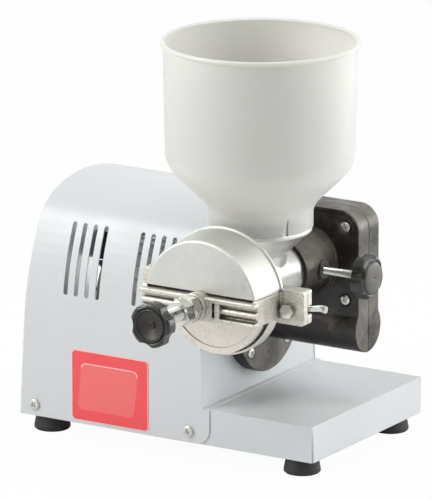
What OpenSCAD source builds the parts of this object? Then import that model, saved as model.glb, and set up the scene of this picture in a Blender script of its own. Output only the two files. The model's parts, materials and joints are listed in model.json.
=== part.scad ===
// Electric grain mill: a motor in a bent sheet cabinet drives a worm gearbox, which
// turns the auger and the grinding disc of a cast mill head under a plastic hopper.
// Machine frame: X from the cabinet's left edge, Y from the base's front edge,
// Z from the table. place() then moves it all to the middle of the whole object.

/* [Base] */
// Width of the base tray
base_w = 345; // [320:1:380]
// Depth of the base tray
base_d = 217.5; // [205:0.5:235]
// Height of the base tray's flanges
base_h = 37; // [30:1:45]
// Sheet thickness of the base tray
base_t = 1.5; // [1:0.1:2.5]
// Height of the rubber feet under the tray
foot_h = 17; // [12:1:24]
// Largest radius of a foot
foot_r = 18.5; // [15:0.5:20]
// Distance of a foot's centre from the tray's left and right ends
foot_inset_x = 24.5; // [22:0.5:32]
// Distance of a foot's centre from the tray's front and back
foot_inset_y = 22; // [21:0.5:30]

/* [Cabinet] */
// Width of the cabinet at its foot
cab_w = 220.5; // [212:0.5:226]
// Height of the cabinet above the tray's lower edge
cab_h = 236; // [233:1:240]
// Sheet thickness of the cabinet
cab_t = 1.2; // [0.8:0.1:2]
// Inward lean of the cabinet's sides, millimetres per millimetre of height
cab_lean = 0.055; // [0.03:0.005:0.07]
// Width of the front tab that laps over the tray, beyond the cabinet's side
tab_over = 5; // [3:0.5:8]
// Corner radius of the front tab
tab_r = 16; // [8:1:20]
// Width of the side panel's outward foot lip
lip_w = 6; // [4:0.5:9]

/* [Vents] */
// Number of slots in one vent group
vent_n = 4; // [2:1:5]
// Distance between slots
vent_pitch = 12.5; // [10:0.1:14]
// Width of a slot
vent_w = 4.9; // [3:0.1:6]
// Height of a slot
vent_h = 72; // [50:1:80]
// Distance of the slots' lower ends below the cabinet's top
vent_drop = 105; // [96:1:116]
// Distance of the first group's first slot from the cabinet's left edge
vent_x1 = 53.5; // [44:0.5:58]
// Distance of the second group's first slot from the cabinet's left edge
vent_x2 = 134.5; // [118:0.5:140]

/* [Label] */
// Width of the blank label plate
label_w = 91.5; // [70:0.5:100]
// Height of the blank label plate
label_h = 73.5; // [50:0.5:85]
// Thickness of the label plate
label_t = 0.8; // [0.4:0.1:1.5]
// Distance of the label from the cabinet's left edge
label_x = 62.5; // [50:0.5:70]
// Height of the label above the tray's lower edge
label_z = 3.5; // [1:0.5:10]

/* [Motor] */
// Outer radius of the motor's shell
motor_r = 58; // [52:1:62]
// Wall of the motor's shell
motor_wall = 3; // [2:0.5:5]
// Length of the cabinet's foot that the motor's shell leaves free
motor_spare = 94.5; // [92:0.5:110]
// Gap between the motor's right end bell and the cabinet's side panel
motor_gap = 6; // [4:1:12]
// Radius of the motor's shaft
shaft_r = 8; // [7:0.5:9]
// Radius of the rotor
rotor_r = 30; // [26:0.5:34]
// Radius of the cooling fan
fan_r = 46; // [38:1:50]
// Height of the motor's axis above the table
worm_z = 131; // [128:0.5:134]

/* [Gearbox] */
// Radius of the flange that joins the gearbox to the cabinet
flange_r = 60.5; // [58:0.5:62]
// Radius of the circle of the flange's screws
flange_bolts_r = 49.5; // [48:0.5:51]
// Distance of the flange's face from the base's right end
flange_back = 115.3; // [113:0.1:118]
// Distance of the flange's outer face from the cabinet's lower right edge
flange_out = 9.2; // [8:0.1:14]
// Half the depth of the gearbox
gear_half = 20; // [19:0.5:22]
// Half the width of the gearbox
gear_side = 60.5; // [59.5:0.5:63]
// Height of the gearbox's top above the mill's axis
gear_up = 55.6; // [54:0.2:60]
// Corner radius of the gearbox
gear_corner = 21; // [14:1:24]
// Outer radius of the tube that holds the worm
tube_r = 24.8; // [24:0.2:27]
// Bore radius of the tube that holds the worm
tube_bore = 21.5; // [20.5:0.1:22]
// Module of the worm gearing
gear_m = 3; // [2.9:0.05:3.05]
// Teeth of the worm wheel
wheel_n = 34; // [33:1:34]
// Starts of the worm
worm_starts = 2; // [1:1:2]
// Pitch radius of the worm
worm_r = 16.5; // [16:0.1:17]
// Length of the worm
worm_len = 50; // [40:1:56]
// Face width of the worm wheel
wheel_face = 20; // [14:1:22]
// Radius of the worm wheel's shaft
out_r = 10; // [8:0.5:11]
// Outer radius of the collar that holds the mill's barrel
collar_r = 34; // [33:0.2:37]
// Length of the collar in front of the gearbox
collar_len = 54.7; // [45:0.5:60]

/* [Mill] */
// Outer radius of the barrel
barrel_r = 30; // [29:0.5:31]
// Wall of the barrel
barrel_wall = 4.4; // [3.5:0.1:5]
// Distance of the disc flange in front of the base's front edge
disc_front = 60; // [55:1:66]
// Radius of the body's disc flange
seat_r = 60; // [58:0.5:62]
// Radius of the grinding discs
disc_r = 56; // [50:0.5:56.5]
// Thickness of a grinding disc
disc_t = 8; // [6:0.5:9]
// Gap between the two grinding discs
disc_gap = 0.4; // [0.2:0.1:1]
// Outer radius of the auger's flight
auger_r = 24.8; // [22:0.2:25]
// Lead of the auger's flight
auger_lead = 30; // [24:1:36]
// Height of the lugs at the sides of the mill
lug_h = 35; // [28:1:40]
// Half the width over both lugs
lug_x = 93; // [90:1:100]
// Thickness of one lug
lug_t = 8; // [6:0.5:10]
// Distance of a lug bolt from the mill's axis
lug_bolt_x = 76; // [74:0.5:82]

/* [Hood and yoke] */
// Outer radius of the hood over the discs
hood_r = 64; // [62:0.5:66]
// Radius of the hood's rim at the back
hood_back_r = 68.5; // [66:0.5:70]
// Depth of the hood
hood_len = 46.5; // [40:0.5:50]
// Wall of the hood
hood_wall = 3; // [2:0.2:4]
// Height of the hood's lower edge above the mill's axis
hood_low = 12.2; // [11:0.2:16]
// Rounding of the hood's front edge
hood_edge = 2.4; // [1.5:0.2:5]
// Distance of the yoke's front in front of the hood's front
yoke_out = 8; // [5:0.5:12]
// Half the width of the yoke
yoke_x = 66.5; // [65.5:0.5:67]
// Depth of the yoke's front bar
yoke_bar = 16; // [12:1:18]
// Thickness of the yoke's arms
yoke_arm = 6; // [5:0.5:6]
// Height of the yoke's bar
yoke_h = 24; // [20:1:24]

/* [Knobs] */
// Outer radius of the star knobs
knob_r = 22.8; // [20:0.2:24]
// Depth of the star knobs
knob_len = 17; // [13:0.5:20]
// Lobes of the star knobs
knob_lobes = 5; // [4:1:6]
// Radius of the round notches between the lobes
knob_notch_r = 11.6; // [9:0.2:13]
// Depth of the notches between the lobes
knob_notch_d = 3.1; // [2:0.1:3.6]
// Distance from the yoke's front to the adjusting knob's back
knob_reach = 68.5; // [60:0.5:76]
// Radius of the adjusting screw
adjust_r = 8; // [7:0.5:9]
// Radius of the clamp screw
clamp_r = 4; // [3.5:0.5:5]
// Distance from the mill's axis to the clamp knob's back
clamp_reach = 76; // [72:0.5:84]
// Radial clearance of a screw or shaft that turns in its bore
fit_gap = 0.05; // [0.02:0.01:0.09]

/* [Hopper] */
// Outer radius of the hopper at its rim
hopper_r = 96; // [90:1:105]
// Outer radius of the hopper's neck
neck_r = 52.5; // [50:0.5:54]
// Wall of the hopper
hopper_t = 2.4; // [1.8:0.1:3.5]
// Height of the hopper's straight part, from its shoulder to its rim
hopper_h = 112; // [90:1:125]
// Height of the hopper's neck below the shoulder
neck_h = 16; // [12:1:18]
// Height of the funnel's seat for the hopper above the mill's axis
seat_h = 55; // [52:0.5:58]
// Width of the notch in the hopper's neck, at the neck's lower edge
notch_w = 5.2; // [3:0.2:8]
// Height of the notch
notch_h = 17; // [10:0.5:18]
// Angle of the notch from the front of the hopper
notch_turn = 60; // [30:5:90]

/* [Switch] */
// Height of the rocker switch's opening
switch_h = 30; // [24:1:34]
// Width of the rocker switch's opening
switch_w = 22; // [18:1:26]
// Travel of the rocker to each side, degrees
switch_tilt = 8; // [5:1:10]

/* [Hidden] */

$fn = 64;
far = 1000;                        // longer than any cut needs to be
free_gap = 0.3;                    // clearance between curved faces
cut = 0.5;                         // overrun of a cut past a face

// Colours
steel_grey = [0.86, 0.88, 0.88];
black = [0.16, 0.15, 0.14];
rubber_black = [0.1, 0.1, 0.1];
zinc = [0.78, 0.78, 0.76];
cast_grey = [0.78, 0.77, 0.74];
copper = [0.72, 0.42, 0.22];
dark_steel = [0.42, 0.43, 0.45];
bronze = [0.72, 0.55, 0.28];
red = [0.93, 0.36, 0.39];
milky = [0.93, 0.93, 0.9, 0.75];

// Heights of the tray and of the axes
tray_z0 = foot_h;
tray_z1 = foot_h + base_h;
mid_y = base_d / 2;
flange_x1 = cab_w + flange_out;
gear_x1 = flange_x1 + flange_back;
gear_x0 = gear_x1 - 2 * gear_side;
mill_x = gear_x1 - gear_side;
wheel_r = gear_m * wheel_n / 2;
mill_z = worm_z + worm_r + wheel_r;

// Height of the vent slots' lower ends
vent_z0 = tray_z0 + cab_h - vent_drop;

// Cabinet outline: arcs of falling angle from the upright front over the top to the back
front_straight = 96 / 236 * cab_h;
arc_angles = [90, 67, 22, 0, -17.5, -90];
front_arc = 265 / 236 * cab_h;
brow_arc = 48 / 236 * cab_h;
rear_arc = 200;
crown_z = front_straight + front_arc * cos(67) + brow_arc * (cos(22) - cos(67));
crown_arc = (cab_h - crown_z) / (1 - cos(22));
crown_y = front_arc * (1 - sin(67)) + brow_arc * (sin(67) - sin(22)) + crown_arc * sin(22);
back_arc = (base_d - crown_y - rear_arc * sin(17.5)) / (1 - sin(17.5));
arc_radii = [front_arc, brow_arc, crown_arc, rear_arc, back_arc];

// Motor and gearbox along X
panel_top_x = cab_w - cab_lean * (worm_z + flange_r - tray_z0);
panel_mid_x = cab_w - cab_lean * (worm_z - tray_z0);
motor_len = cab_w - motor_spare;
bell_t = 10;
bell_x1 = panel_mid_x - motor_gap - cab_lean * motor_r;
shell_x1 = bell_x1 - bell_t;
shell_x0 = shell_x1 - motor_len;
bell_x0 = shell_x0 - bell_t;
core_len = motor_len - 52;
core_x0 = shell_x0 + (motor_len - core_len) / 2;
core_x1 = core_x0 + core_len;
fan_t = 12;
fan_x1 = bell_x0 - 5;
fan_x0 = fan_x1 - fan_t;
bearing_w = 10;
bearing_r = 17.5;
tube_end = 6;
spigot_l = 6;
worm_x0 = mill_x - worm_len / 2;
worm_x1 = mill_x + worm_len / 2;
worm_tip = gear_m - 0.15;
worm_root = 1.1 * gear_m;
lead_angle = atan(worm_starts * gear_m / (2 * worm_r));

// Gearbox along Y
gear_y0 = mid_y - gear_half;
gear_y1 = mid_y + gear_half;
collar_y0 = gear_y0 - collar_len;
cavity_r = wheel_r + gear_m + 0.6;
cavity_half = gear_half - 6;
front_bearing_r = 21;
front_bearing_w = 12;
front_bearing_y0 = gear_y0 - front_bearing_w;
seal_w = 6;
seal_y0 = front_bearing_y0 - seal_w;
back_bearing_y1 = gear_y1 + 2;
back_bearing_y0 = back_bearing_y1 - bearing_w;
cap_y1 = back_bearing_y1 + 3;
gear_top_z = mill_z + gear_up;
screw_dx = gear_side - 15.5;
screw_up = gear_side - 21.5;
screw_down = gear_side - 24.5;
clamp_y = collar_y0 + collar_len / 2;
clamp_boss_r = 9.5;
clamp_boss_out = collar_r + 4;

// Mill head along Y, from the collar forwards
barrel_bore = barrel_r - barrel_wall;
seat_y1 = -disc_front;
seat_y0 = seat_y1 - disc_t;
fixed_y0 = seat_y0 - disc_t;
turn_y1 = fixed_y0 - disc_gap;
turn_y0 = turn_y1 - disc_t - 1;
hood_y1 = seat_y0 + 2;
hood_y0 = hood_y1 - hood_len;
hood_skirt_r = hood_back_r - 1.5;
hood_seat_r = hood_skirt_r - hood_wall;
yoke_y0 = hood_y0 - yoke_out;
lug_y1 = seat_y1 + 5;
lug_y0 = lug_y1 - lug_t;
foot_y1 = lug_y0;
foot_y0 = foot_y1 - lug_t;
lug_z0 = mill_z - 0.55 * lug_h;
lug_bolt_z = mill_z - 5;
bolt_r = 4;
barrel_end = seal_y0;
tang_len = 11;
bush_y0 = barrel_end - 10;

// Screws that the hand turns
knob_back_y = yoke_y0 - knob_reach;
knob_front_y = knob_back_y - knob_len;
yoke_boss = 7;
nut_t = 13;
nut_r = 13.86;
pad_t = 4;
clamp_back_x = mill_x + clamp_reach;
clamp_face_x = clamp_back_x + knob_len;
cap_rise = 2.5;

// Hopper
hopper_y = 0;
neck_z0 = mill_z + seat_h;
shoulder_h = 57;
rim_z = neck_z0 + neck_h + shoulder_h + hopper_h;
bead_r = 2.4;
rim_out = 2.7;                     // reach of the rim's bead beyond the wall
funnel_top_r = neck_r - hopper_t - free_gap;

// The switch and the cord gland
switch_z = tray_z0 + cab_h - 86;
switch_body = 22.7;                // depth of the switch's body behind the panel
switch_y = mid_y + 30;
switch_back_x = side_in(switch_z) + switch_body + 0.8;
gland_r = 9;
gland_out = 9;
gland_x = 60;
gland_z = tray_z1 + 30;

// Middle of the whole object
x_max = max(clamp_face_x + cap_rise, mill_x + hopper_r + rim_out);
y_max = base_d + gland_out;
x_mid = x_max / 2;
y_mid = (knob_front_y + y_max) / 2;

module place() {
    translate([-x_mid, -y_mid, 0]) children();
}

// Solids along the axes, given by their two ends
module x_cyl(r, x0, x1, y, z) {
    translate([x0, y, z]) rotate([0, 90, 0]) cylinder(r = r, h = x1 - x0);
}

module y_cyl(r, y0, y1, x, z) {
    translate([x, y0, z]) rotate([-90, 0, 0]) cylinder(r = r, h = y1 - y0);
}

module z_cyl(r, z0, z1, x, y) {
    translate([x, y, z0]) cylinder(r = r, h = z1 - z0);
}

module box(lo, hi) {
    translate(lo) cube(hi - lo);
}

module x_ring(r_out, r_in, x0, x1, y, z) {
    difference() {
        x_cyl(r_out, x0, x1, y, z);
        x_cyl(r_in, x0 - cut, x1 + cut, y, z);
    }
}

module y_ring(r_out, r_in, y0, y1, x, z) {
    difference() {
        y_cyl(r_out, y0, y1, x, z);
        y_cyl(r_in, y0 - cut, y1 + cut, x, z);
    }
}

// Rounded rectangle from its two corners
module round_rect(x0, y0, x1, y1, r) {
    translate([x0 + r, y0]) square([x1 - x0 - 2 * r, y1 - y0]);
    translate([x0, y0 + r]) square([x1 - x0, y1 - y0 - 2 * r]);
    for (x = [x0 + r, x1 - r], y = [y0 + r, y1 - r]) translate([x, y]) circle(r = r);
}

// Takes a shape drawn in X and Z to a slab between two Y values
module slab_y(y0, y1) {
    translate([0, y1, 0]) rotate([90, 0, 0]) linear_extrude(height = y1 - y0) children();
}

// Takes a shape drawn in Y and Z to a slab between two X values
module slab_x(x0, x1) {
    translate([x0, 0, 0]) rotate([90, 0, 90]) linear_extrude(height = x1 - x0) children();
}

// Hexagon prism along Y, flats across = 2 * r * cos(30)
module y_hex(r, y0, y1, x, z) {
    translate([x, y0, z]) rotate([-90, 0, 0]) cylinder(r = r, h = y1 - y0, $fn = 6);
}

// Pan head with its shank, drawn at the origin with the shank along +Z
module pan_screw(head_r, head_h, shank_r, shank_l) {
    difference() {
        union() {
            translate([0, 0, -head_h]) cylinder(r = head_r, h = head_h);
            cylinder(r = shank_r, h = shank_l);
        }
        for (a = [0, 90]) rotate([0, 0, a])
            translate([-head_r * 0.5, -head_r * 0.09, -head_h - cut])
                cube([head_r, head_r * 0.18, head_h * 0.5 + cut]);
    }
}

/* ---- base and cabinet ---- */

module base_tray() {
    slit = 0.4;
    flare = 1.2;
    color(steel_grey) place() difference() {
        union() {
            box([flare, cab_t, tray_z1 - base_t], [base_w - flare, base_d - cab_t, tray_z1]);
            for (y = [cab_t, base_d - cab_t - base_t])
                box([flare, y, tray_z0], [base_w - flare, y + base_t, tray_z1]);
            slab_y(cab_t + base_t + slit, base_d - cab_t - base_t - slit) {
                polygon([[0, tray_z0], [flare, tray_z1], [flare + base_t, tray_z1],
                    [base_t, tray_z0]]);
                polygon([[base_w, tray_z0], [base_w - flare, tray_z1],
                    [base_w - flare - base_t, tray_z1], [base_w - base_t, tray_z0]]);
            }
        }
        cover_screw_holes();
        cradle_points() z_cyl(2.7, tray_z0, tray_z1 + cut, 0, 0);
    }
}

module foot_points() {
    for (x = [foot_inset_x, base_w - foot_inset_x], y = [foot_inset_y, base_d - foot_inset_y])
        translate([x, y, 0]) children();
}

module bottom_plate() {
    gap = cab_t + base_t + 0.2;
    color(steel_grey) place() difference() {
        box([base_t + 0.2, gap, tray_z0], [base_w - base_t - 0.2, base_d - gap, tray_z0 + base_t]);
        foot_points() z_cyl(2.6, tray_z0 - cut, tray_z0 + base_t + cut, 0, 0);
    }
}

module rubber_feet() {
    recess_r = 6;
    recess_h = 5;
    color(rubber_black) place() foot_points() difference() {
        rotate_extrude() polygon([[0, 0], [foot_r - 1.5, 0], [foot_r, 1.5], [foot_r, 4],
            [foot_r - 2.5, foot_h], [0, foot_h]]);
        translate([0, 0, -cut]) cylinder(r = recess_r, h = recess_h + cut);
        cylinder(r = 2.6, h = far);
    }
}

foot_nut_t = 4;

module foot_screws() {
    recess_h = 5;
    color(zinc) place() foot_points() translate([0, 0, recess_h])
        pan_screw(4.8, 3, 2.5, foot_h + base_t + foot_nut_t + 1 - recess_h);
}

module foot_nuts() {
    color(zinc) place() foot_points() translate([0, 0, tray_z0 + base_t]) difference() {
        cylinder(r = 4.6, h = foot_nut_t, $fn = 6);
        translate([0, 0, -cut]) cylinder(r = 2.5, h = foot_nut_t + 2 * cut);
    }
}

// Centres of the cabinet's arcs, in Y and Z
function arc_centre(i) = i == 0
    ? [front_arc, tray_z0 + front_straight]
    : arc_centre(i - 1) + (arc_radii[i - 1] - arc_radii[i])
        * [-sin(arc_angles[i]), cos(arc_angles[i])];

// Side view of the cabinet in Y and Z, moved inwards by d, from a height z0 up and round
bend_step = 2.5;

function cabinet_outline(d, z0) = concat([[d, z0]],
    [for (i = [0:len(arc_radii) - 1])
        let (a0 = arc_angles[i], a1 = arc_angles[i + 1], n = ceil((a0 - a1) / bend_step))
        each [for (k = [(i == 0 ? 0 : 1):n]) let (a = a0 + (a1 - a0) * k / n)
            arc_centre(i) + (arc_radii[i] - d) * [-sin(a), cos(a)]]],
    [[base_d - d, z0]]);

// Sheet of the cabinet, bent along all the arcs, over its whole width
module cabinet_sheet() {
    inner = cabinet_outline(cab_t, tray_z0);
    slab_x(0, base_w) polygon(concat(cabinet_outline(0, tray_z0),
        [for (k = [len(inner) - 1:-1:0]) inner[k]]));
}

// Left and right limits of the cabinet at a height
function side_in(z) = cab_lean * (z - tray_z0);

// Slab in the front view of the cabinet's cover, with the tab at its lower right
module cover_front_view() {
    top = tray_z0 + cab_h + 5;
    slab_y(-cut, base_d + cut) polygon([[side_in(tray_z0), tray_z0], [side_in(top), top],
        [cab_w - side_in(top), top], [cab_w - side_in(tray_z1), tray_z1],
        [cab_w - tab_r, tray_z1], [cab_w - tab_r, tray_z0]]);
    box([cab_w - 2 * tab_r, -cut, tray_z0 + tab_r], [cab_w + tab_over, base_d + cut, tray_z1]);
    intersection() {
        y_cyl(tab_r, -cut, base_d + cut, cab_w + tab_over - tab_r, tray_z0 + tab_r);
        box([0, -far, 0], [far, far, tray_z0 + tab_r + 1]);
    }
    box([cab_w - 2 * tab_r, -cut, tray_z0], [cab_w + tab_over - tab_r, base_d + cut,
        tray_z0 + tab_r + 1]);
}

module box2(lo, hi) {
    translate(lo) square(hi - lo);
}

module vent_slots() {
    for (x0 = [vent_x1, vent_x2], i = [0:vent_n - 1])
        slab_y(-cut, mid_y - 10) translate([x0 + i * vent_pitch, 0])
            round_rect(-vent_w / 2, vent_z0, vent_w / 2, vent_z0 + vent_h,
                vent_w / 2 - 0.01);
}

cover_screw_z = tray_z0 + 11.8;
cover_screw_xs = [17.6, cab_w - 19.3];

module cover_screw_holes() {
    for (x = cover_screw_xs) y_cyl(3.2, -cut, base_d + cut, x, cover_screw_z);
}

module cabinet_cover() {
    color(steel_grey) place() difference() {
        intersection() {
            cabinet_sheet();
            union() cover_front_view();
        }
        vent_slots();
        cover_screw_holes();
        y_cyl(gland_r, mid_y, base_d + cut, gland_x, gland_z);
    }
}

// A leaning side panel: plate thickness inwards from a line that follows the lean
module panel_slab(x_foot, dir) {
    top = tray_z0 + cab_h;
    lean = dir * cab_lean * cab_h;
    slab_y(0, base_d) polygon([[x_foot, tray_z0], [x_foot + lean, top],
        [x_foot + lean + dir * cab_t, top], [x_foot + dir * cab_t, tray_z0]]);
}

module panel_shape() {
    slab_x(-cut, base_w) polygon(cabinet_outline(cab_t + 0.05, tray_z1));
}

module left_panel() {
    color(steel_grey) place() difference() {
        union() {
            intersection() {
                panel_slab(0.6, 1);
                panel_shape();
            }
            box([0.6 + side_in(tray_z1) + 0.4, 8, tray_z1], [side_in(tray_z1) + 14, base_d - 8,
                tray_z1 + cab_t]);
        }
        on_left_panel() box([-far / 2, -switch_w / 2, -switch_h / 2],
            [far / 2, switch_w / 2, switch_h / 2]);
    }
}

// Origin on the left panel's outer face at the switch, X along the panel's inward normal
module on_left_panel() {
    translate([0.6 + side_in(switch_z), switch_y, switch_z]) rotate([0, atan(cab_lean), 0]) children();
}

module right_panel() {
    foot_x = cab_w - 0.6 - side_in(tray_z1);
    color(steel_grey) place() difference() {
        union() {
            intersection() {
                panel_slab(cab_w - 0.6, -1);
                panel_shape();
            }
            box([foot_x - cab_t, cab_t + 0.05, tray_z1],
                [foot_x + lip_w, base_d - cab_t - 0.05, tray_z1 + cab_t]);
        }
        x_cyl(28, 0, base_w, mid_y, worm_z);
        flange_screw_points() x_cyl(3.2, 0, base_w, 0, 0);
    }
}

module cover_screws() {
    color(zinc) place() for (x = cover_screw_xs) {
        translate([x, 0, cover_screw_z]) rotate([-90, 0, 0]) pan_screw(5.7, 3.2, 3, 10);
        translate([x, base_d, cover_screw_z]) rotate([90, 0, 0]) pan_screw(5.7, 3.2, 3, 10);
    }
}

module label_plate() {
    edge = 13;
    top_edge = 14;
    z0 = tray_z0 + label_z;
    color(red) place() difference() {
        slab_y(-label_t, 0) round_rect(label_x, z0, label_x + label_w, z0 + label_h, 5);
        slab_y(-label_t - cut, -label_t + 0.25) polygon([
            [label_x + edge - 4, z0 + edge], [label_x + edge, z0 + label_h - top_edge],
            [label_x + label_w - edge, z0 + label_h - top_edge],
            [label_x + label_w - edge - 6, z0 + edge]]);
    }
}

module switch_frame() {
    color(black) place() on_left_panel() difference() {
        union() {
            box([-2, -switch_w / 2 - 3, -switch_h / 2 - 3], [0, switch_w / 2 + 3, switch_h / 2 + 3]);
            box([0, -switch_w / 2, -switch_h / 2], [22, switch_w / 2, switch_h / 2]);
        }
        box([-3, -switch_w / 2 + 2, -switch_h / 2 + 2], [14, switch_w / 2 - 2, switch_h / 2 - 2]);
    }
}

rocker_pivot = 5;

module switch_rocker() {
    half_w = switch_w / 2 - 2.4;
    half_h = switch_h / 2 - 2.9;
    nose = 4;
    color(black) place() on_left_panel() translate([rocker_pivot, half_w, 0])
        rotate([0, -switch_tilt, 0]) rotate([90, 0, 0])
        linear_extrude(height = 2 * half_w) translate([-rocker_pivot, 0])
            polygon([[-nose, -half_h + 1.5], [-0.5, 0], [-nose, half_h - 1.5],
                [rocker_pivot - 1, half_h], [rocker_pivot + 4, 3], [rocker_pivot + 4, -3],
                [rocker_pivot - 1, -half_h]]);
}

module cord_gland() {
    bore = 3.8;
    color(black) place() difference() {
        union() {
            y_cyl(gland_r - 0.1, base_d - 8, base_d, gland_x, gland_z);
            y_cyl(gland_r + 3, base_d, base_d + 3, gland_x, gland_z);
            y_cyl(gland_r - 2, base_d + 3, base_d + gland_out, gland_x, gland_z);
            y_cyl(gland_r + 2, base_d - 8, base_d - cab_t, gland_x, gland_z);
        }
        y_cyl(bore, base_d - 9, y_max + cut, gland_x, gland_z);
    }
}

module terminal_block() {
    ways = 4;
    pitch = 9;
    x0 = 18;
    y0 = base_d - 50;
    color([0.9, 0.9, 0.86]) place() difference() {
        union() {
            box([x0, y0, tray_z1], [x0 + 18, y0 + ways * pitch, tray_z1 + 6]);
            for (i = [0:ways - 1])
                box([x0 + 3, y0 + i * pitch + 0.8, tray_z1 + 6],
                    [x0 + 15, y0 + (i + 1) * pitch - 0.8, tray_z1 + 15]);
        }
        for (i = [0:ways - 1], x = [x0 + 6, x0 + 12])
            z_cyl(1.8, tray_z1 + 9, tray_z1 + 16, x, y0 + (i + 0.5) * pitch);
    }
}

// Leads that run along the axes through a list of points
module lead(pts, r) {
    for (i = [0:len(pts) - 2]) let (a = pts[i], b = pts[i + 1], d = b - a) {
        if (d[0] != 0) x_cyl(r, min(a[0], b[0]), max(a[0], b[0]), a[1], a[2]);
        if (d[1] != 0) y_cyl(r, min(a[1], b[1]), max(a[1], b[1]), a[0], a[2]);
        if (d[2] != 0) z_cyl(r, min(a[2], b[2]), max(a[2], b[2]), a[0], a[1]);
        if (i > 0) translate(a) sphere(r = r);
    }
}

module leads() {
    r = 1.4;
    x0 = 24;
    y0 = base_d - 50;
    z0 = tray_z1 + 15.3;
    back_x = switch_back_x;
    color([0.2, 0.2, 0.22]) place() {
        for (i = [0, 1]) lead([[back_x, switch_y - 5 + 10 * i, switch_z + 4 * i],
            [back_x + 4 + 3 * i, switch_y - 5 + 10 * i, switch_z + 4 * i],
            [back_x + 4 + 3 * i, switch_y - 5 + 10 * i, z0 + 26 + 8 * i],
            [back_x + 4 + 3 * i, y0 + 4.5 + 9 * i, z0 + 26 + 8 * i],
            [x0, y0 + 4.5 + 9 * i, z0 + 26 + 8 * i], [x0, y0 + 4.5 + 9 * i, z0]], r);
        lead([[gland_x, base_d - 8, gland_z], [gland_x, base_d - 18, gland_z],
            [x0, base_d - 18, gland_z], [x0, base_d - 18, z0]], 3);
    }
}

cap_body_r = 16;
cap_len = 62;
cap_x0 = core_x0 - 5;
cradle_half = motor_r * 0.75 + 12;
clip_foot = 4.5;
cap_y = 0.545 * (mid_y - cradle_half);

module capacitor() {
    color([0.8, 0.82, 0.84]) place() {
        x_cyl(cap_body_r, cap_x0, cap_x0 + cap_len, cap_y, tray_z1 + cap_body_r + cab_t);
        x_cyl(cap_body_r - 4, cap_x0 + cap_len, cap_x0 + cap_len + 3, cap_y, tray_z1 + cap_body_r + cab_t);
        for (dy = [-5, 5])
            x_cyl(1.5, cap_x0 + cap_len + 3, cap_x0 + cap_len + 10, cap_y + dy, tray_z1 + cap_body_r + cab_t);
    }
}

module capacitor_clip() {
    x0 = cap_x0 + 22;
    x1 = x0 + 16;
    z = tray_z1 + cap_body_r + cab_t;
    color(zinc) place() difference() {
        union() {
            x_cyl(cap_body_r + cab_t, x0, x1, cap_y, z);
            box([x0, cap_y - cap_body_r - clip_foot, tray_z1], [x1, cap_y + cap_body_r + clip_foot,
                tray_z1 + cab_t]);
        }
        x_cyl(cap_body_r, x0 - cut, x1 + cut, cap_y, z);
        box([x0 - cut, -far / 2, -far], [x1 + cut, far / 2, tray_z1]);
    }
}

/* ---- motor ---- */

module motor_shell() {
    fin_n = 24;
    fin_h = 2.5;
    color(zinc) place() difference() {
        union() {
            x_cyl(motor_r - fin_h, shell_x0, shell_x1, mid_y, worm_z);
            for (i = [0:fin_n - 1]) translate([shell_x0, mid_y, worm_z])
                rotate([i * 360 / fin_n, 0, 0])
                    translate([6, -1, motor_r - fin_h - 1]) cube([motor_len - 12, 2, fin_h + 1]);
        }
        x_cyl(motor_r - fin_h - motor_wall, shell_x0 - cut, shell_x1 + cut, mid_y, worm_z);
    }
}

stator_r = motor_r - 2.5 - motor_wall;

module stator_core() {
    color(dark_steel) place() x_ring(stator_r, rotor_r + 0.7, core_x0, core_x1, mid_y, worm_z);
}

// A wound ring with bevelled corners beside each end of the core
module winding_ring(x0, dir) {
    mid_r = (stator_r + rotor_r) / 2 + 2;
    half_r = (stator_r - rotor_r) / 2 - 5;
    reach = 15;
    bevel = 4;
    translate([x0, mid_y, worm_z]) rotate([0, dir * 90, 0]) rotate_extrude() polygon([
        [mid_r - half_r, 0], [mid_r + half_r, 0], [mid_r + half_r, reach - bevel],
        [mid_r + half_r - bevel, reach], [mid_r - half_r + bevel, reach],
        [mid_r - half_r, reach - bevel]]);
}

module stator_windings() {
    color(copper) place() {
        winding_ring(core_x1, 1);
        winding_ring(core_x0, -1);
    }
}

// An end bell: plate with a spigot into the shell and a bearing seat on its inner side
module end_bell(x_face, dir) {
    spigot = 8;
    translate([x_face, mid_y, worm_z]) rotate([0, dir * 90, 0]) difference() {
        union() {
            cylinder(r = motor_r, h = bell_t);
            translate([0, 0, -spigot]) difference() {
                cylinder(r = stator_r - 0.05, h = spigot);
                translate([0, 0, -cut]) cylinder(r = stator_r - 4, h = spigot + cut);
            }
            translate([0, 0, -spigot + 2]) cylinder(r = bearing_r + 4, h = spigot);
        }
        translate([0, 0, -spigot]) cylinder(r = bearing_r, h = bearing_w + 2);
        translate([0, 0, -far / 2]) cylinder(r = shaft_r + 2, h = far);
        for (i = [0:5]) rotate([0, 0, i * 60 + 30]) translate([38, 0, -cut])
            cylinder(r = 6, h = bell_t + 2 * cut);
    }
}

module left_end_bell() {
    color(cast_grey) place() end_bell(shell_x0, -1);
}

module right_end_bell() {
    color(cast_grey) place() difference() {
        end_bell(shell_x1, 1);
        flange_screw_points() x_cyl(2.9, shell_x1 + 1, base_w, 0, 0);
    }
}

module motor_bearings() {
    color(zinc) place() {
        x_ring(bearing_r, shaft_r + fit_gap, shell_x0 - 4, shell_x0 - 4 + bearing_w, mid_y, worm_z);
        x_ring(bearing_r, shaft_r + fit_gap, shell_x1 + 4 - bearing_w, shell_x1 + 4, mid_y, worm_z);
    }
}

module rotor_core() {
    color(dark_steel) place() x_ring(rotor_r, shaft_r, core_x0, core_x1, mid_y, worm_z);
}

module motor_shaft() {
    color(zinc) place() x_cyl(shaft_r, fan_x0 - 3, gear_x1 - tube_end - 1, mid_y, worm_z);
}

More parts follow.
